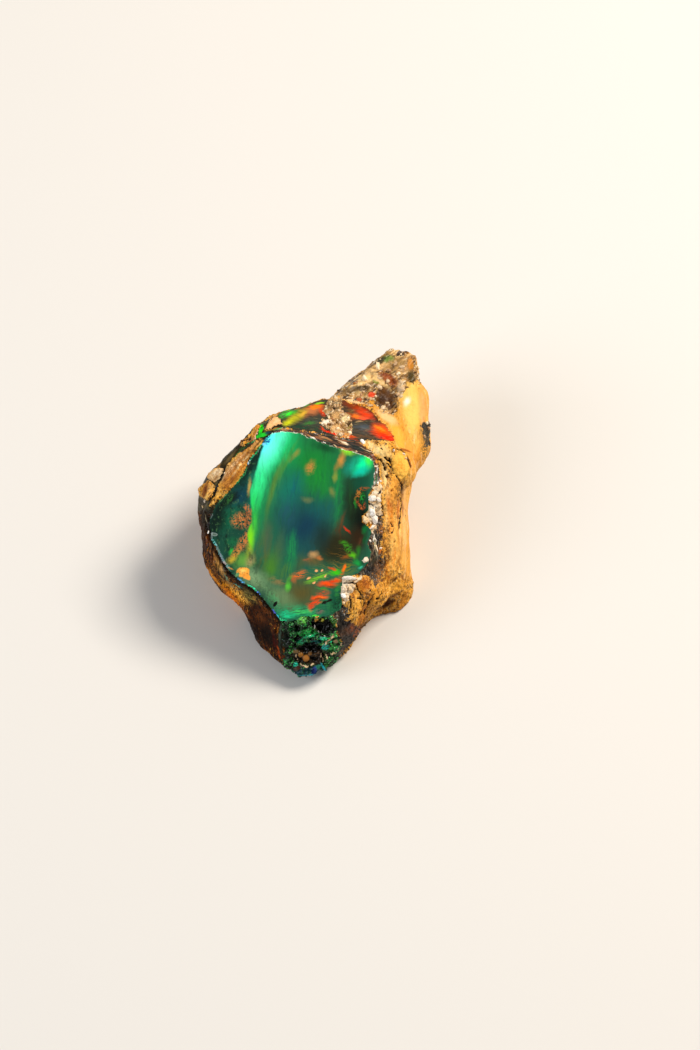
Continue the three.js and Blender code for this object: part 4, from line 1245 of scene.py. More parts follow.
RIND_PATCHES = [
    (13.8, 14.2, 4.2, 1.6, 95, 0.6, 0.85, "#F8CA64"),  # the horn's smooth flank
    (15.2, 14.0, 3.6, 0.7, 90, 0.8, 0.7, "#F0AC68"),
    # a painted highlight: a pale spot of light on the horn's flank
    (13.3, 14.8, 1.0, 0.6, 60, 1.0, 0.95, "#FFF8E4"),
    (15.2, 11.0, 2.2, 0.9, 90, 0.9, 0.7, "#8A6428", "down"),
    (15.5, 8.9, 1.8, 0.8, 90, 0.8, 0.85, "#5E4A24", "speckle"),
    (12.2, 10.6, 2.8, 1.0, 110, 0.7, 0.85, "#F4B03C"),
    (13.6, 8.6, 3.0, 0.6, 95, 0.8, 0.8, "#F0A040"),
    (10.9, 12.9, 2.0, 0.7, -35, 0.7, 0.85, "#F2C688"),
    (7.2, 14.75, 2.4, 0.25, -14, 0.7, 0.9, "#F2C890"),
    (9.3, 9.1, 2.2, 0.7, -38, 0.7, 0.9, "#FAE2A4", "down"),
    (10.6, 8.6, 1.6, 0.9, -50, 0.8, 0.8, "#FAD488"),
    (10.6, 6.0, 3.0, 0.7, 98, 0.8, 0.9, "#FCDC98", "down"),
    (10.9, 3.2, 2.8, 0.7, 92, 0.8, 0.85, "#FCD484", "down"),
    (10.9, 0.8, 1.8, 0.6, 92, 0.8, 0.85, "#FED07C", "down"),
    (12.5, 7.0, 2.2, 1.4, 95, 0.5, 0.9, "#FCC252"),  # the upper lobe
    (12.4, 7.1, 1.2, 0.8, 80, 0.8, 0.8, "#F09A2C", "speckle"),
    (11.7, 4.0, 2.6, 0.8, 85, 0.8, 0.85, "#FAAE44"),
    (12.2, 2.0, 1.6, 0.4, 90, 0.8, 0.8, "#E47818", "down"),
    (12.5, 4.4, 1.2, 0.7, 60, 0.7, 0.9, "#4A3018", "speckle"),
    (11.5, -2.0, 4.2, 1.1, 92, 0.8, 0.9, "#FFC05C"),
    (11.0, -4.6, 2.8, 0.6, 85, 0.8, 0.9, "#C87414", "speckle"),
    (11.3, -1.5, 3.6, 0.8, 90, 0.8, 0.55, "#A8560A", "speckle"),
    (11.3, 2.4, 2.6, 0.6, 92, 0.8, 0.5, "#C06A0E", "speckle"),
    (11.6, -3.2, 3.6, 0.7, 88, 0.8, 0.9, "#FFD070", "speckle"),
    (10.9, -3.6, 2.4, 0.5, 80, 0.8, 0.75, "#3E2814", "speckle"),
    (11.0, -0.6, 1.6, 0.4, 95, 0.8, 0.85, "#4A3018", "speckle"),
    (13.0, 0.8, 5.4, 0.5, 90, 0.7, 0.6, "#F4C080", "wisp"),
    (11.3, 0.8, 3.4, 0.6, 95, 0.9, 0.9, "#F08A14", "down"),
    (11.0, 2.6, 1.8, 0.4, 100, 0.9, 0.85, "#D8740E", "down"),
    (11.7, -3.6, 2.4, 0.5, 84, 0.9, 0.85, "#EC8818", "down"),
    (12.8, 2.6, 2.4, 0.16, 90, 0.8, 0.8, "#A8704C"),
    (12.7, -3.4, 3.6, 0.7, 86, 0.9, 0.6, "#F2B860", "down"),
    (12.2, 1.0, 4.2, 0.14, 91, 0.9, 0.8, "#8A5020", "down"),
    (12.7, -1.4, 4.6, 0.16, 89, 0.9, 0.7, "#A0622A", "down"),
    (12.3, -4.8, 2.6, 0.4, 84, 0.9, 0.7, "#C07C28", "down"),
    (12.2, -7.4, 1.4, 0.6, 15, 0.9, 0.8, "#F4AC3A"),
    # painted shade: the dark crease between the lower right forms, and the shading below the bright
    # gold one
    (11.7, -6.6, 1.6, 0.3, 35, 1.0, 0.85, "#7A4A18"),
    (11.9, -8.3, 1.4, 0.3, 25, 1.0, 0.8, "#6A3A0C"),
    (11.6, -10.5, 1.4, 0.5, 10, 0.9, 0.7, "#B4741C"),
    # painted shade in the lower end of the hollow beside the back knob
    (10.4, -10.9, 1.4, 0.4, 30, 0.9, 0.85, "#3A1E08"),
    (10.6, -6.8, 2.4, 1.0, 60, 0.9, 0.8, "#A8640E", "speckle"),
    (9.0, -9.6, 2.6, 1.2, 60, 0.9, 0.8, "#8A4A0C", "speckle"),
    (8.2, -7.0, 1.2, 1.2, 80, 0.7, 0.8, "#C46C10"),  # the lower block
    (8.3, -6.8, 1.0, 0.9, 80, 0.8, 0.85, "#7A3A06", "speckle"),
    (8.2, -8.4, 1.3, 0.5, 15, 0.7, 0.9, "#3A2A1A", "speckle"),
    (9.6, -8.6, 2.6, 0.8, 65, 0.8, 0.85, "#E8A030", "down"),
    (7.3, -9.4, 2.4, 0.5, 85, 0.8, 0.9, "#F0AC44", "down"),
    (8.0, -10.6, 2.0, 0.8, 75, 0.8, 0.8, "#D07810", "down"),
    (6.4, -9.8, 2.0, 0.5, 85, 0.8, 0.9, "#4A2E14", "down"),
    (9.8, -5.4, 1.8, 1.0, 70, 0.8, 0.85, "#4A3424", "speckle"),
    (12.9, -9.2, 1.4, 0.6, 70, 0.7, 0.8, "#D08420"),
    # painted shade in the hollow beside the back knob
    (10.9, -9.4, 1.3, 0.5, 40, 0.9, 0.9, "#3A1E08"),
    (8.0, -12.4, 2.2, 1.0, 45, 0.8, 0.9, "#3A2010"),
    (13.1, 8.9, 1.0, 0.2, -20, 0.6, 0.9, "#A85A14"),
    (13.5, 7.4, 0.9, 0.24, 105, 0.6, 0.9, "#6A2E12"),
    (-6.9, 6.6, 3.6, 1.1, 52, 0.6, 0.9, "#B87630"),  # islands of crust, upper left
    (-6.8, 6.4, 3.4, 0.8, 52, 0.8, 0.95, "#F0A030", "slant"),
    (-5.6, 8.2, 1.8, 0.5, 50, 0.8, 0.9, "#8A5420", "slant"),
    (-7.3, 6.9, 3.2, 0.5, 52, 0.8, 0.85, "#ECC48C", "slant"),
    (-7.6, 5.2, 2.2, 0.4, 50, 0.8, 0.9, "#7A4010", "slant"),
    (-6.6, 5.6, 2.2, 0.3, 52, 0.8, 0.9, "#F0A83C"),
    (-6.9, 6.6, 3.8, 1.2, 52, 0.7, 0.65, "#8A4A0C", "speckle"),
    (-6.3, 7.2, 2.4, 0.3, 52, 0.9, 0.9, "#FFD894", "speckle"),
    (-4.7, 9.5, 1.4, 0.2, 48, 0.6, 0.9, "#C88C4C"),
    (-4.3, 9.5, 1.4, 0.16, 50, 0.6, 0.85, "#6A4018"),
    (-9.3, 5.9, 1.4, 1.0, 25, 0.6, 0.95, "#F0CC94"),
    (-9.2, 6.2, 1.0, 0.5, 25, 0.8, 0.9, "#F8DEB4", "slant"),
    (-9.5, 5.5, 0.9, 0.3, 30, 0.8, 0.9, "#A06A30", "slant"),
    (-9.3, 5.9, 1.3, 0.9, 25, 0.7, 0.5, "#B87C40", "speckle"),
    (-9.9, 4.3, 1.0, 0.8, 70, 0.8, 0.85, "#E8B068", "speckle"),
    (-10.7, 4.0, 1.4, 0.5, 80, 0.8, 0.9, "#7A3C14"),
    (-10.0, 3.4, 0.9, 0.4, 70, 0.8, 0.85, "#6A3A18", "slant"),
    (-4.6, 11.1, 1.2, 0.5, 60, 0.6, 0.9, "#C87C2C", "slant"),
    (-4.5, 10.6, 1.0, 0.25, 65, 0.6, 0.8, "#ECC4A0"),
    (-2.3, 12.1, 1.5, 1.1, 25, 0.3, 0.97, "#F0B476"),
    (-2.2, 12.4, 1.2, 0.6, 25, 0.9, 0.7, "#FAD0A0", "slant"),
]


def ochre_rind():
    """Ironstone rind stained by iron oxides, weathered rough, with a smooth water-worn side: dusty
    and pitted."""
    material, tree, shader, place = new_material(
        "weathered_ochre_rind", Roughness=0.6, Specular_IOR_Level=0.15
    )
    wandering = warped(tree, place, 1.5, 0.3)
    crusted = with_stains(tree, place, linear("#DC9428"), RIND_STAINS)
    worn = with_stains(tree, wandering, linear("#E49E36"), SMOOTH_STAINS)
    bare = by_region(tree, "smooth_ochre", -0.5, 0.5, crusted, worn)
    grains = grains_for(tree, wandering, RIND_PATCHES)
    marked = with_patches(tree, wandering, bare, RIND_PATCHES, grains)
    colour = by_region(tree, "facing_out", -0.8, 0.4, bare, marked)
    # Painted shade: the rind's hollows and pits are darkened where shade falls.
    colour = with_painted_hollow_shade(tree, colour, -0.45, -0.05, "#4A2408")
    colour_surface(tree, shader, with_cracks(tree, colour))
    grainy(tree, shader, place, 0.3, 0.1)
    return material


# ---------------------------------------------------------------- the potch

POTCH_STAINS = [
    (1.2, (0.6, 1.8, 1), 0.46, 0.58, 0.8, "#35322C", 3),
    (0.7, (0.6, 1.8, 1), 0.52, 0.6, 0.8, "#5E4A34", 5),
    (0.35, (0.5, 2.4, 1), 0.54, 0.66, 0.75, "#948870", 6),
    (0.3, (0.5, 1.8, 1), 0.57, 0.64, 0.85, "#B8803E", 9),
    (0.22, (0.7, 1.4, 1), 0.62, 0.7, 0.7, "#E8E0CE", 13),
]
POTCH_PATCHES = [
    (9.4, -4.0, 1.6, 0.5, 75, 0.8, 0.7, "#4E4A38"),
    (9.5, -2.4, 1.5, 0.16, 97, 0.6, 0.95, "#DCD2AC"),
    (9.3, -1.5, 0.7, 0.1, 82, 0.6, 0.9, "#E4E0D4"),
    (10.2, -0.5, 0.9, 0.4, 80, 0.7, 0.9, "#B06820", "speckle"),
    (10.2, -2.9, 0.8, 0.36, 70, 0.7, 0.95, "#DC7C1C"),
    (9.9, -5.2, 1.8, 1.2, 60, 0.9, 0.95, "#7A4C24", "speckle"),
    (10.3, -6.2, 1.4, 1.0, 40, 0.9, 0.95, "#C07C2C", "speckle"),
    (8.8, -5.3, 1.1, 0.5, 40, 0.8, 0.95, "#0A0806"),
    (6.3, -12.8, 3.4, 2.0, 50, 0.5, 0.9, "#170D07"),
    (7.0, -11.8, 1.8, 0.8, 50, 0.8, 0.95, "#9A4A14", "down"),
    (5.9, -12.6, 1.4, 0.7, 40, 0.8, 0.9, "#5A3A22", "down"),
    (7.4, -12.6, 1.2, 0.4, 55, 0.8, 0.9, "#C0601C", "speckle"),
    (5.4, -10.8, 1.5, 0.5, 80, 0.8, 0.9, "#1E2018"),
    (15.6, 11.8, 1.6, 0.8, 90, 0.6, 0.9, "#2E2A20"),
    (15.5, 10.4, 1.2, 0.5, 90, 0.8, 0.8, "#6A5C3E", "speckle"),
    (15.5, 8.7, 2.0, 0.9, 90, 0.6, 0.92, "#4A3A1C"),
]


def flaky_potch():
    """Grey-black potch that has flaked: thin glossy chips with clay and rust between them."""
    material, tree, shader, place = new_material(
        "flaky_dark_potch",
        Roughness=0.5,
        Specular_IOR_Level=0.2,
        Coat_Weight=0.25,
        Coat_Roughness=0.2,
    )
    wandering = warped(tree, place, 0.8, 0.15)
    colour = with_stains(tree, wandering, linear("#14110E"), POTCH_STAINS)
    grains = grains_for(tree, place, POTCH_PATCHES)
    colour = with_patches(tree, wandering, colour, POTCH_PATCHES, grains)
    colour_surface(tree, shader, with_cracks(tree, colour, "#080604"))
    grainy(tree, shader, place, 0.3, 0.12)
    return material


BARE_STAINS = [
    (1.8, (1, 1, 1), 0.44, 0.6, 0.8, "#30280F", 2),
    (0.7, (1, 1, 1), 0.52, 0.62, 0.7, "#5E5430", 6),
    (0.5, (1, 1, 1), 0.58, 0.64, 0.8, "#0A0A08", 10),
]
BARE_PATCHES = [
    (-7.7, 7.9, 2.0, 0.8, 45, 0.6, 0.95, "#352A12"),
    (-7.7, 8.0, 1.4, 0.3, 50, 0.9, 0.8, "#6E5C38"),
    (-9.2, 7.1, 0.8, 0.4, 50, 0.5, 0.95, "#94682E"),
    (-8.1, 6.4, 1.6, 0.4, 55, 0.6, 0.95, "#0C0A06"),
    (-9.0, 4.6, 1.6, 0.3, 65, 0.6, 0.95, "#0C0A06"),
    (-3.8, 12.1, 1.8, 0.6, 30, 0.8, 0.9, "#4E5820", "speckle"),
    (-3.5, 11.2, 0.7, 0.4, 20, 0.8, 0.8, "#7A6A2C", "speckle"),
    (-4.0, 11.3, 0.8, 0.3, 72, 0.6, 1.0, "#14E414"),
    (-3.9, 10.6, 1.0, 0.3, 18, 0.6, 0.95, "#1EC82C"),
    (-5.1, 9.8, 0.7, 0.24, 25, 0.6, 0.95, "#12A058"),
    (-5.6, 9.9, 0.4, 0.2, -20, 0.6, 0.9, "#083A34"),
    (-6.1, 9.1, 1.0, 0.3, 25, 0.8, 0.9, "#2E5E2A", "speckle"),
    (-6.9, 8.1, 0.9, 0.22, 50, 0.6, 0.95, "#127E2C"),
    (-2.6, 11.3, 1.0, 0.14, 15, 0.7, 0.9, "#A87830"),
    (-3.2, 10.85, 0.5, 0.25, 10, 0.7, 0.9, "#143848"),
    (-1.8, 11.3, 1.0, 0.16, 10, 0.7, 0.9, "#50B060"),
    (-1.1, 13.1, 1.2, 0.6, 20, 0.6, 0.95, "#10C414"),
    (-0.6, 12.3, 1.0, 0.4, 30, 0.6, 0.9, "#A0B020"),
]


def dark_potch():
    """Dark potch, opal without fire, broken and bare: olive to black glass, a few green flashes."""
    material, tree, shader, place = new_material(
        "bare_dark_potch",
        Roughness=0.45,
        Specular_IOR_Level=0.05,
        Coat_Weight=0.12,
        Coat_Roughness=0.1,
    )
    bare = with_stains(tree, place, linear("#221C0E"), BARE_STAINS)
    wandering = warped(tree, place, 0.9, 0.25)
    grains = grains_for(tree, place, BARE_PATCHES)
    marked = with_patches(tree, wandering, bare, BARE_PATCHES, grains)
    colour = by_region(tree, "facing_out", 0.4, 1.4, bare, marked)
    # Painted shade: the potch's hollows are darkened to near black.
    colour = with_painted_hollow_shade(tree, colour, -0.35, -0.1, "#080706")
    colour_surface(tree, shader, colour)
    grainy(tree, shader, place, 0.4, 0.06)
    return material


# The thin layers of the ledge, a mean of BAND_SPACING mm apart: [shift, where the noise starts to
# show, where it is full, strength, colour].
BAND_SPACING = 0.2
LEDGE_LAYERS = [
    (0, 0.5, 0.56, 0.9, "#4E3220"),
    (7, 0.54, 0.6, 0.9, "#8A5634"),
    (13, 0.62, 0.68, 0.85, "#A87848"),
    (19, 0.6, 0.66, 0.8, "#1E4A34"),
    (29, 0.66, 0.7, 0.8, "#E2CCA4"),
]
LEDGE_PATCHES = [
    (5.9, 9.65, 0.6, 0.14, -22, 0.5, 0.95, "#F2E2C4"),
    (7.6, 9.0, 2.0, 0.35, -22, 0.8, 0.9, "#10201A"),
    (9.4, 7.9, 1.0, 0.2, -50, 0.7, 0.9, "#8A4A30"),
    (9.7, 7.5, 0.3, 0.3, 0, 0.6, 0.95, "#E89A30"),
    (9.7, 6.6, 0.8, 0.12, 85, 0.6, 0.9, "#B8B4A8"),
    (9.6, 5.4, 0.9, 0.2, 80, 0.7, 0.9, "#2E5A2A"),
    (9.8, 4.9, 0.5, 0.15, 70, 0.6, 0.9, "#D8D4C8"),
]


def banded_ledge():
    """Potch and opal in thin layers, worn back along the window: dark and faintly glossy, with fine
    pale bands and white chips along the rim."""
    material, tree, shader, place = new_material(
        "banded_potch",
        Roughness=0.45,
        Specular_IOR_Level=0.2,
        Coat_Weight=0.25,
        Coat_Roughness=0.2,
    )
    from_window = add(tree, "Attribute", attribute_name="window").outputs["Fac"]
    layers = add(tree, "Math", {0: from_window, 1: 1 / BAND_SPACING}, operation="MULTIPLY")
    axes = add(tree, "SeparateXYZ", {0: place})
    along = add(tree, "Math", {0: axes.outputs[0], 1: 0.45}, operation="MULTIPLY").outputs[0]
    colour = linear("#1C1812")
    for shift, low, high, strength, layer_colour in LEDGE_LAYERS:
        layer_place = add(tree, "CombineXYZ", {0: layers.outputs[0], 1: along, 2: float(shift)})
        texture = add(
            tree, "TexNoise", {"Vector": layer_place.outputs[0], "Scale": 0.9, "Detail": 3}
        )
        cover = add(
            tree,
            "MapRange",
            {"Value": texture.outputs[0], "From Min": low, "From Max": high, "To Max": strength},
        )
        colours = {FACTOR: cover.outputs[0], UNDER: colour, OVER: linear(layer_colour)}
        colour = add(tree, "Mix", colours, data_type="RGBA").outputs[MIXED]
    colour = with_patches(tree, warped(tree, place, 0.9, 0.15), colour, LEDGE_PATCHES, {})
    rim = chips_along(tree, place, 1.7, 0.53, 0.59, region(tree, "window", -0.22, -0.02))
    chipped = {FACTOR: rim, UNDER: colour, OVER: linear("#EEE8DC")}
    colour = add(tree, "Mix", chipped, data_type="RGBA").outputs[MIXED]
    colour_surface(tree, shader, colour)
    return material


# ---------------------------------------------------------------- clay, sand and grains

CLAY_STAINS = [
    (1.1, (1, 1, 1), 0.42, 0.55, 0.85, "#E2C092", 3),
    (0.6, (1, 1, 1), 0.53, 0.62, 0.8, "#C89A62", 7),
    (0.4, (1, 1, 1), 0.58, 0.65, 0.85, "#3A2A1A", 11),
    (0.3, (1, 1, 1), 0.64, 0.7, 0.7, "#8A8078", 17),
]
GREY_CLAY_STAINS = CLAY_STAINS[3:]


def stained_clay():
    """Kaolin clay packed in the seams, dried and stained by rust: matt, chalky, white to peach."""
    material, tree, shader, place = new_material("rust_stained_clay", Roughness=0.85, IOR=1.5)
    colour = with_stains(tree, place, linear("#F0DCBC"), CLAY_STAINS)
    colour_surface(tree, shader, with_cracks(tree, colour))
    grainy(tree, shader, place, 0.25, 0.12)
    return material


def white_clay():
    """Crumbs of clean dried kaolin: matt, chalky, and bright white but for a few peach crumbs."""
    material, tree, shader, place = new_material("dried_white_clay", Roughness=0.85, IOR=1.5)
    tone = add(tree, "Attribute", attribute_name="tone").outputs["Fac"]
    paleness = add(tree, "MapRange", {"Value": tone, "From Min": 0.2, "From Max": 0.6}).outputs[0]
    crumbs = {FACTOR: paleness, UNDER: linear("#EAC898"), OVER: linear("#FBF5EC")}
    colour = add(tree, "Mix", crumbs, data_type="RGBA").outputs[MIXED]
    colour_surface(tree, shader, with_stains(tree, place, colour, GREY_CLAY_STAINS))
    grainy(tree, shader, place, 0.25, 0.12)
    return material


def quartz_grain():
    """Loose quartz grains, water-rounded: glassy and pale, each a little different in tone."""
    material, tree, shader, place = new_material(
        "water_rounded_quartz", Roughness=0.35, IOR=1.54, Coat_Weight=0.15, Coat_Roughness=0.2
    )
    tone = add(tree, "Attribute", attribute_name="tone").outputs["Fac"]
    grains = {FACTOR: tone, UNDER: linear("#9A6226"), OVER: linear("#FFE8BC")}
    colour_surface(tree, shader, add(tree, "Mix", grains, data_type="RGBA").outputs[MIXED])
    grainy(tree, shader, place, 0.2, 0.04)
    return material


SAND_STAINS = [
    (1.2, (1, 1, 1), 0.42, 0.55, 0.9, "#D8A868", 2),
    (0.7, (1, 1, 1), 0.5, 0.6, 0.9, "#F2DCAE", 5),
    (0.5, (1, 1, 1), 0.55, 0.63, 0.9, "#6A4A26", 9),
    (0.3, (1, 1, 1), 0.6, 0.66, 0.9, "#1E140C", 13),
]
SAND_PATCHES = [
    (4.6, 14.2, 1.6, 1.2, 0, 0.7, 0.8, "#5E4C34", "speckle"),
    (3.7, 12.2, 0.8, 0.5, 20, 0.6, 0.95, "#FAF0DC"),
    (4.9, 11.5, 0.9, 0.7, -30, 0.6, 0.9, "#E0B070"),
    (6.0, 12.6, 0.7, 0.8, 60, 0.6, 0.95, "#F4DCA4"),
    (6.6, 11.5, 0.5, 0.6, 80, 0.6, 0.9, "#6A7A30", "speckle"),
    (5.9, 10.6, 1.1, 0.35, 0, 0.6, 0.95, "#EAA04C"),
]


def sandy_clay():
    """Sand and clay left in the breaks: matt, crumbly and pale, with gaps between its grains."""
    material, tree, shader, place = new_material("sandy_clay", Roughness=0.9, IOR=1.5)
    colour = with_stains(tree, place, linear("#B08850"), SAND_STAINS)
    wandering = warped(tree, place, 0.8, 0.15)
    grains = grains_for(tree, place, SAND_PATCHES)
    colour = with_patches(tree, wandering, colour, SAND_PATCHES, grains)
    # Painted shade: the gaps between the grains and clods are darkened.
    colour_surface(tree, shader, with_painted_hollow_shade(tree, colour, -0.5, 0.05, "#20150C"))
    grainy(tree, shader, place, 0.22, 0.2)
    return material


HORN_STAINS = [
    (1.6, (2.0, 0.6, 1), 0.44, 0.56, 0.9, "#BE8E4C", 3),
    (1.1, (2.2, 0.5, 1), 0.5, 0.6, 0.9, "#ECC07A", 6),
    (0.9, (2.0, 0.5, 1), 0.51, 0.59, 0.95, "#3A2006", 9),
    (0.45, (1.8, 0.6, 1), 0.56, 0.64, 0.8, "#F6E4C0", 13),
    (0.35, (1.6, 0.7, 1), 0.57, 0.65, 0.85, "#2C1A08", 15),
]
HORN_PATCHES = [
    (12.0, 19.4, 2.2, 1.2, 0, 0.6, 0.85, "#AC8448", "wisp"),
    (7.4, 16.4, 3.0, 0.6, 12, 0.7, 0.9, "#5E4622"),
    (8.5, 17.6, 1.8, 0.8, 25, 0.6, 0.95, "#F2C884"),
    (9.8, 19.0, 1.8, 0.6, 18, 0.6, 0.95, "#ECBC78"),
    (10.2, 17.2, 2.0, 0.5, -40, 0.6, 0.9, "#E4BC78"),
    (12.9, 18.9, 1.1, 0.7, 0, 0.8, 0.9, "#DCA868", "down"),
    (12.6, 16.2, 1.6, 0.6, 95, 0.8, 0.95, "#F8E0B4", "down"),
    (7.9, 15.7, 1.1, 0.5, -15, 0.6, 0.9, "#C8A468"),
    # the cavity's dark brown, partly its own colour and partly painted shade, darkest at its bottom
    (10.8, 15.3, 1.9, 1.3, -60, 0.6, 1.0, "#6E420E"),  # the cavity
    (10.4, 15.2, 1.2, 0.8, -40, 0.8, 0.95, "#3A2004"),
    (11.2, 17.6, 1.8, 0.8, -35, 0.7, 0.95, "#9A4A0E"),
    (10.8, 18.1, 0.9, 0.25, -15, 0.6, 0.9, "#8A4012"),
    (9.1, 15.6, 0.6, 0.5, 0, 0.5, 1.0, "#EC4A18"),
    (7.6, 15.0, 0.5, 0.25, -10, 0.6, 0.9, "#C05A28"),
    (9.6, 17.2, 0.6, 0.2, -20, 0.6, 0.9, "#8A8A28"),
    (13.8, 19.4, 1.2, 0.5, 95, 0.6, 0.97, "#CC8420"),
    (13.9, 17.8, 1.1, 0.6, 95, 0.6, 0.97, "#544212"),
    (11.1, 20.1, 1.1, 0.6, 15, 0.8, 0.95, "#6A8A2C", "wisp"),
    (10.3, 19.9, 0.9, 0.4, 30, 0.6, 0.9, "#3A3412"),
]


def sandy_ironstone():
    """Ironstone crusted with coarse sand, on the horn's front: brown, glassy, with pale grains."""
    material, tree, shader, place = new_material(
        "sandy_ironstone",
        Roughness=0.5,
        Specular_IOR_Level=0.3,
        Coat_Weight=0.2,
        Coat_Roughness=0.25,
    )
    wandering = warped(tree, place, 1.2, 0.3)
    slanting = add(
        tree,
        "Mapping",
        {"Vector": wandering, "Rotation": (0, 0, HORN_SLANT)},
        vector_type="TEXTURE",
    ).outputs[0]
    colour = with_stains(tree, slanting, linear("#86602C"), HORN_STAINS)
    grains = grains_for(tree, place, HORN_PATCHES)
    colour = with_patches(tree, wandering, colour, HORN_PATCHES, grains)
    # Painted shade: the horn's hollows and its cavity are darkened.
    colour_surface(tree, shader, with_painted_hollow_shade(tree, colour, -1.2, -0.5, "#5A3410"))
    grainy(tree, shader, place, 0.3, 0.15)
    return material


# ---------------------------------------------------------------- the nub and the amber side

NUB_STAINS = [
    (1.4, (1, 1, 1), 0.45, 0.56, 0.85, "#1E4A16", 1),
    (0.8, (1, 1, 1), 0.5, 0.58, 0.9, "#10702E", 5),
    (0.45, (1, 1, 1), 0.54, 0.61, 0.9, "#46AE4C", 9),
    (0.35, (1, 1, 1), 0.6, 0.66, 0.9, "#28C890", 14),
    (0.8, (1, 1, 1), 0.48, 0.55, 0.97, "#060805", 17),
    (0.25, (1, 1, 1), 0.58, 0.64, 0.85, "#7ADC7A", 21),
    (0.3, (1, 1, 1), 0.52, 0.58, 0.9, "#060A06", 25),
]
NUB_PATCHES = [
    (3.3, -12.0, 2.1, 1.3, -15, 0.7, 0.97, "#0A0806"),
    (0.2, -13.6, 1.2, 0.6, 70, 0.8, 0.95, "#060706", "speckle"),
    (2.5, -12.2, 0.6, 0.4, -40, 0.7, 0.8, "#4A3A2E", "speckle"),
    (2.6, -11.25, 0.4, 0.3, 0, 0.5, 0.95, "#C8923A"),
    (3.2, -11.25, 0.5, 0.3, -30, 0.5, 0.95, "#A8A03A"),
    (0.9, -11.2, 0.9, 0.6, 20, 0.8, 0.95, "#6CC850", "speckle"),
    (4.5, -11.6, 0.8, 0.9, 80, 0.7, 0.8, "#4A6A26", "speckle"),
    (3.3, -13.4, 0.6, 0.3, 0, 0.5, 0.95, "#24C890", "speckle"),
    (0.9, -13.85, 0.8, 0.4, -10, 0.5, 0.95, "#1E8E62", "speckle"),
    (2.5, -13.8, 0.9, 0.3, 5, 0.5, 0.95, "#0E5A54"),
    (1.6, -15.4, 2.6, 1.5, 0, 0.4, 0.97, "#2A1A0E"),
    (0.65, -15.35, 0.4, 0.36, 0, 0.4, 0.95, "#8A5A20"),
    (1.3, -15.75, 0.5, 0.46, 0, 0.4, 0.95, "#966026"),
    (1.75, -15.2, 0.4, 0.34, 0, 0.5, 0.95, "#6E4A20"),
    (2.5, -15.3, 0.7, 0.35, 20, 0.5, 0.95, "#54391C", "speckle"),
    (0.1, -14.95, 0.5, 0.3, 0, 0.5, 0.95, "#6E5430"),
    (4.8, -13.75, 0.35, 0.3, 0, 0.5, 0.95, "#8A7050"),
    (-1.1, -13.4, 3.0, 0.6, 88, 0.6, 0.95, "#10160F"),
    (-0.9, -15.6, 1.6, 0.5, 100, 0.7, 0.9, "#101A12", "speckle"),
    (4.8, -15.6, 1.6, 0.6, 70, 0.8, 0.85, "#0C140C", "speckle"),
    (1.4, -14.4, 1.5, 0.3, 0, 0.7, 0.95, "#080A06"),
    (1.4, -12.8, 1.8, 0.7, 10, 0.9, 0.9, "#1EB44A", "speckle"),
    (1.6, -13.2, 1.6, 0.4, 15, 0.9, 0.85, "#22B074", "speckle"),
    (3.6, -14.4, 0.6, 0.45, 0, 0.5, 0.95, "#1AA89A", "speckle"),
    (4.4, -14.6, 0.5, 0.4, 0, 0.5, 0.95, "#2A8A3A", "speckle"),
    (0.1, -16.45, 0.45, 0.3, 40, 0.5, 0.97, "#28D8B0", "speckle"),
    (1.7, -17.5, 3.0, 0.75, 0, 0.5, 0.95, "#104450", "wisp"),
    (1.9, -17.75, 2.0, 0.12, 3, 0.6, 0.9, "#3A9AA8"),
    (0.2, -17.0, 0.6, 0.4, 20, 0.6, 0.9, "#4A2418"),
    (2.3, -17.15, 0.7, 0.4, 70, 0.5, 0.97, "#283E88"),
    (2.8, -16.7, 0.5, 0.3, 0, 0.5, 0.95, "#2A8A70"),
    (3.4, -16.9, 0.9, 0.16, -60, 0.5, 0.97, "#18A8B8"),
    (-0.6, -17.3, 0.8, 0.2, -40, 0.6, 0.9, "#4A7A3A"),
]


def knobbly_opal():
    """Opal in small grape-like knobs: glassy, green where light plays in it and black between."""
    material, tree, shader, place = new_material(
        "knobbly_green_opal",
        Roughness=0.35,
        Specular_IOR_Level=0.0,
        Coat_Weight=0.4,
        Coat_Roughness=0.1,
        # A faint painted glow of the nub's own colours.
        Emission_Strength=0.04,
    )
    colour = with_stains(tree, warped(tree, place, 0.6, 0.15), linear("#122410"), NUB_STAINS)
    wandering = warped(tree, place, 0.8, 0.12)
    grains = grains_for(tree, place, NUB_PATCHES)
    colour = with_patches(tree, wandering, colour, NUB_PATCHES, grains)
    # Painted shade: the hollows between the knobs are darkened to black.
    colour = with_painted_hollow_shade(tree, colour, -0.5, -0.1, "#050604")
    colour = by_region(tree, "cream", 0.2, 0.7, colour, linear("#D2B48A"))
    colour_surface(tree, shader, colour)
    grainy(tree, shader, place, 0.3, 0.06)
    return material


AMBER_STAINS = [
    (1.6, (0.8, 1.4, 1), 0.46, 0.58, 0.8, "#6A3004", 2),
    (0.8, (0.5, 2.2, 1), 0.5, 0.58, 0.85, "#120602", 7),
    (0.6, (0.5, 2.0, 1), 0.56, 0.63, 0.8, "#A86414", 11),
    (0.3, (0.6, 1.8, 1), 0.6, 0.66, 0.7, "#E8A848", 15),
    # The last stain is painted glints: tiny pale gold sparkles of light on the wet surface.
    (0.22, (0.7, 1.6, 1), 0.63, 0.68, 0.4, "#FFD488", 27),
]
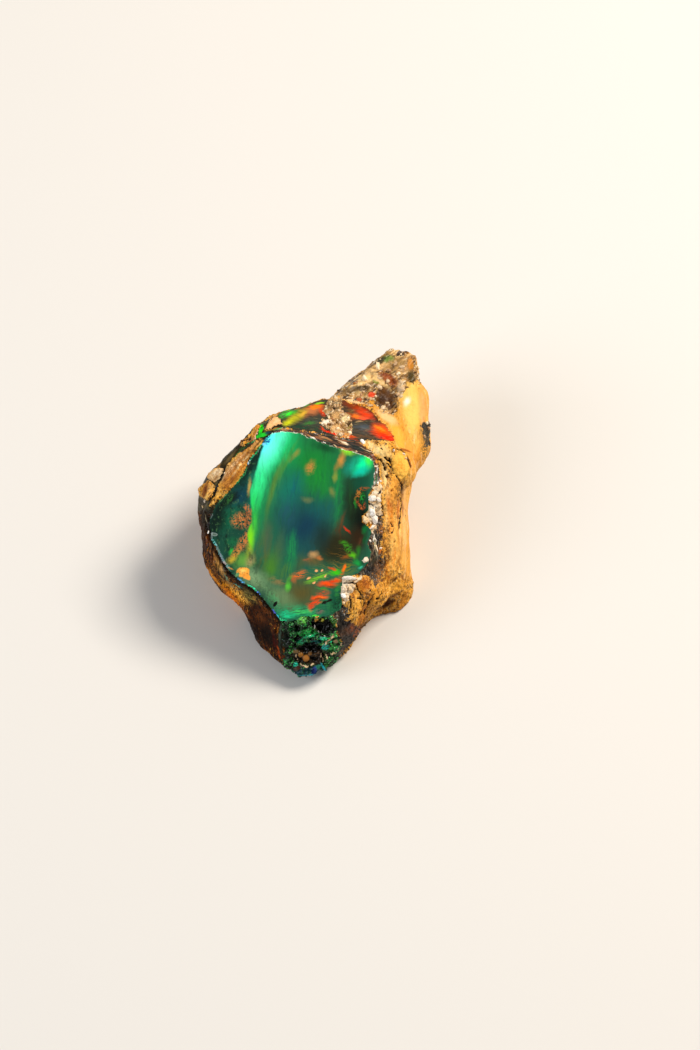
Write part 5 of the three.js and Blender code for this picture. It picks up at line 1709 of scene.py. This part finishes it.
# Dark cracks through everything else in the amber.
AMBER_CRACKS = [
    (0.5, (0.4, 2.0, 1), 0.52, 0.58, 0.9, "#120602", 21),
    (0.24, (0.5, 1.8, 1), 0.55, 0.6, 0.8, "#1E0C04", 31),
]
AMBER_PATCHES = [
    (-10.6, 0.6, 2.6, 0.9, 90, 0.7, 0.95, "#1E160A"),
    (-10.5, 0.6, 0.8, 0.1, 105, 0.5, 0.9, "#A89A78"),
    (-10.9, -1.8, 2.6, 0.6, 95, 0.8, 0.9, "#2E1204"),
    (-9.7, -3.0, 1.8, 0.5, 105, 0.8, 0.85, "#7A5A44", "down"),
    (-9.3, -2.7, 1.1, 0.14, 117, 0.6, 0.95, "#E8A85A"),
    (-9.2, -5.0, 2.2, 1.1, 115, 0.8, 0.9, "#8A5210", "down"),
    (-8.6, -5.6, 2.2, 0.7, 115, 0.8, 0.8, "#7A7040", "down"),
    (-8.9, -5.2, 1.8, 0.4, 110, 0.7, 0.9, "#0E0602", "down"),
    (-8.8, -4.9, 2.2, 0.5, 113, 0.9, 0.9, "#D09850", "down"),
    # painted glow: the orange line along the outline, where light shines through the thin edge
    (-9.6, -6.4, 2.4, 0.3, 125, 0.7, 0.95, "#D8841C"),
    # the amber's own gold, with painted glints of light on it
    (-7.5, -7.9, 2.6, 1.0, 140, 0.8, 0.95, "#D8860F", "wisp"),
    (-6.6, -8.2, 2.4, 0.9, 140, 0.8, 1.0, "#FFB030", "speckle"),
    (-6.2, -8.6, 1.8, 0.3, 140, 0.9, 0.9, "#FFC860", "slant"),
    (-7.4, -7.3, 1.6, 0.4, 145, 0.8, 0.85, "#9A8258", "across"),
    (-5.3, -8.4, 2.2, 1.0, 140, 0.7, 0.95, "#5A5228"),
    (-5.2, -8.3, 2.0, 0.9, 140, 0.8, 0.9, "#A89040", "hatch"),
    (-4.2, -9.1, 1.4, 0.4, 135, 0.8, 0.9, "#C87830", "down"),
    # painted glow: bright orange along the outline, where light shines through the thin edge
    (-7.5, -8.6, 2.2, 0.6, 130, 0.8, 0.97, "#FF8A10"),
    (-7.4, -8.5, 2.0, 0.6, 130, 0.9, 0.7, "#7A3404", "speckle"),
    # painted glints of golden light
    (-6.9, -8.3, 1.9, 0.3, 135, 0.9, 0.95, "#FFB444", "speckle"),
    # darker towards the bottom: partly the glass's own dark brown, partly painted shade on the
    # lower side
    (-4.2, -10.8, 2.6, 1.8, -60, 0.6, 0.97, "#301202"),
    # painted glow: orange streaks where light shines through the brown glass
    (-6.0, -10.6, 2.2, 0.6, -50, 0.8, 0.95, "#A85408", "down"),
    (-4.1, -11.0, 1.7, 0.9, -60, 1.0, 0.9, "#5A2E0C"),
    (-3.4, -10.0, 1.4, 0.6, -50, 0.9, 0.6, "#7A3E0C", "down"),
    # near black low down: partly the glass's own dark brown, partly painted shade on the lower side
    (-5.2, -12.4, 3.2, 1.2, -58, 0.7, 0.96, "#160702"),
    (-3.2, -13.2, 2.6, 1.3, -55, 0.7, 0.97, "#0A0301"),
    (-2.3, -14.0, 1.8, 0.45, -80, 0.7, 0.95, "#3A0A02"),
    (-1.6, -13.4, 3.4, 0.5, 88, 0.6, 0.95, "#18221A"),
    (-1.7, -12.6, 2.0, 0.24, 84, 0.8, 0.8, "#4A5E50", "down"),
    # painted glow at the thin lower edge, where light shines through
    (-1.9, -15.1, 1.1, 0.22, -75, 0.7, 0.95, "#A84408"),
    (-6.7, -7.2, 0.8, 0.16, -25, 0.5, 0.9, "#3EA898", "speckle"),
    (-8.1, -6.2, 0.6, 0.2, -60, 0.5, 0.9, "#6A8A70", "speckle"),
]


def amber_opal():
    """Common opal broken along the side: brown glass, streaked, wet-looking, dark in its depth."""
    material, tree, shader, place = new_material(
        "broken_amber_opal",
        Roughness=0.3,
        Specular_IOR_Level=0.0,
        Coat_Weight=0.15,
        Coat_Roughness=0.06,
        # A faint painted glow of the amber's own colours.
        Emission_Strength=0.08,
    )
    wandering = warped(tree, place, 1.2, 0.25)
    colour = with_stains(tree, wandering, linear("#200B02"), AMBER_STAINS)
    grains = grains_for(tree, wandering, AMBER_PATCHES)
    colour = with_patches(tree, wandering, colour, AMBER_PATCHES, grains)
    colour = with_stains(tree, warped(tree, place, 0.8, 0.3), colour, AMBER_CRACKS)
    colour = by_region(tree, "window", -0.75, -0.2, colour, linear("#0C0804"), strength=0.9)
    colour_surface(tree, shader, colour)
    grainy(tree, shader, place, 0.5, 0.05)
    return material


# ---------------------------------------------------------------- the studio

CAMERA_DISTANCE = 443
CAMERA_ASIDE = 6.5
LENS = 129.1  # focal length, with a frame FRAME_HEIGHT high
FRAME_HEIGHT = 36
FLOOR_WIDTH = 40  # metres
SKY_STRENGTH = 0.25
AIM_HEIGHT = 8  # how high above the floor the soft lights point
# Square soft lights: [name, place in the row frame, width, power in watts, colour].
SOFTBOXES = [
    ("key", (320, 180, 420), 220, 3.9, "#FFF6EA"),
    ("fill", (-380, -120, 260), 300, 1.3, "#F4F8FF"),
]


def place_camera():
    """A long lens that looks straight at the polished window."""
    data = bpy.data.cameras.new("camera")
    data.sensor_fit = "VERTICAL"
    data.sensor_height = FRAME_HEIGHT
    data.lens = LENS
    camera = into_scene("camera", data)
    camera.location = STONE_TO_ROW @ Vector((CAMERA_ASIDE, 0, CAMERA_DISTANCE))
    camera.rotation_euler = (WINDOW_LEAN, 0, 0)
    bpy.context.scene.camera = camera


def painted_board():
    """Matt painted board: a flat even surface, a little warm."""
    return new_material("pale_matt_board", Base_Color=linear("#D8D5D0"), Roughness=0.8)[0]


def studio():
    """A pale floor, an even sky, and the soft lights."""
    bpy.ops.mesh.primitive_plane_add(size=FLOOR_WIDTH)
    floor = bpy.context.object
    floor.name = "floor"
    floor.data.materials.append(painted_board())
    world = bpy.data.worlds.new("studio")
    world.use_nodes = True
    sky = world.node_tree.nodes["Background"]
    sky.inputs["Color"].default_value = linear("#FFFFFF")
    sky.inputs["Strength"].default_value = SKY_STRENGTH
    bpy.context.scene.world = world
    for name, place, width, power, colour in SOFTBOXES:
        data = bpy.data.lights.new(name, "AREA")
        data.size = width * MM
        data.energy = power
        data.color = linear(colour)[:3]
        light = into_scene(name, data)
        light.location = Vector(place) * MM
        aim = Vector((0, 0, AIM_HEIGHT)) * MM - light.location
        light.rotation_euler = aim.to_track_quat("-Z", "Y").to_euler()
    bpy.context.scene.view_settings.view_transform = "Standard"


# ---------------------------------------------------------------- the whole


def paint_by_region(stone, regions):
    """Gives every face a finish: the last one listed whose region its first corner lies in."""
    ochre = ochre_rind()
    finishes = {
        "bare_left": dark_potch(),
        "amber": amber_opal(),
        "potch": flaky_potch(),
        "nub": knobbly_opal(),
        "horn_front": sandy_ironstone(),
        "ledge": banded_ledge(),
        "island": ochre,
        "lobe": ochre,
        "clay": stained_clay(),
        "broken_window": broken_opal(),
        "sand": sandy_clay(),
        "window": polished_opal(),
    }
    mesh = stone.data
    corners = np.empty(len(mesh.loops), np.int32)
    mesh.loops.foreach_get("vertex_index", corners)
    starts = np.empty(len(mesh.polygons), np.int32)
    mesh.polygons.foreach_get("loop_start", starts)
    first = corners[starts]
    index = np.zeros(len(first), np.int32)
    mesh.materials.clear()
    mesh.materials.append(ochre)
    for number, (name, finish) in enumerate(finishes.items(), start=1):
        mesh.materials.append(finish)
        index[regions[name][first] > 0] = number
    mesh.polygons.foreach_set("material_index", index)
    mesh.polygons.foreach_set("use_smooth", np.ones(len(first), bool))
    mesh.update()


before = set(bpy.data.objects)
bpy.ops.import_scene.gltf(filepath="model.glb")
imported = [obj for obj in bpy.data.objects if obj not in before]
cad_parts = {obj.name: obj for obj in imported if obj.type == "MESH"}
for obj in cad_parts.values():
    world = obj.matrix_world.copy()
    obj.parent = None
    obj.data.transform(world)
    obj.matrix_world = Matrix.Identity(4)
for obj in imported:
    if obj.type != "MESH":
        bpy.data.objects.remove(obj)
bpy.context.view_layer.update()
place_camera()
studio()

stone = fine_copy(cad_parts[STONE_NODE])
regions = weather(stone)
quartz = quartz_grain()
lumps_on(stone, "clay_crumbs", CLAY_CRUMBS, 3, white_clay())
lumps_on(stone, "horn_crystals", HORN_CRYSTALS, 3, quartz)
sand = scattered(SAND_OUTLINE, spacing=0.45, low=0.08, high=0.3, seed=3)
sand += scattered(HORN_FRONT_OUTLINE, spacing=1.5, low=0.08, high=0.22, seed=5)
lumps_on(stone, "sand_grains", sand, 2, quartz)
stone.data.transform(STONE_TO_ROW)
keep_in_box(stone, *[np.array(corner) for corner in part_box(STONE_NODE)])
paint_by_region(stone, regions)
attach(stone, "root")
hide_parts(STONE_NODE)
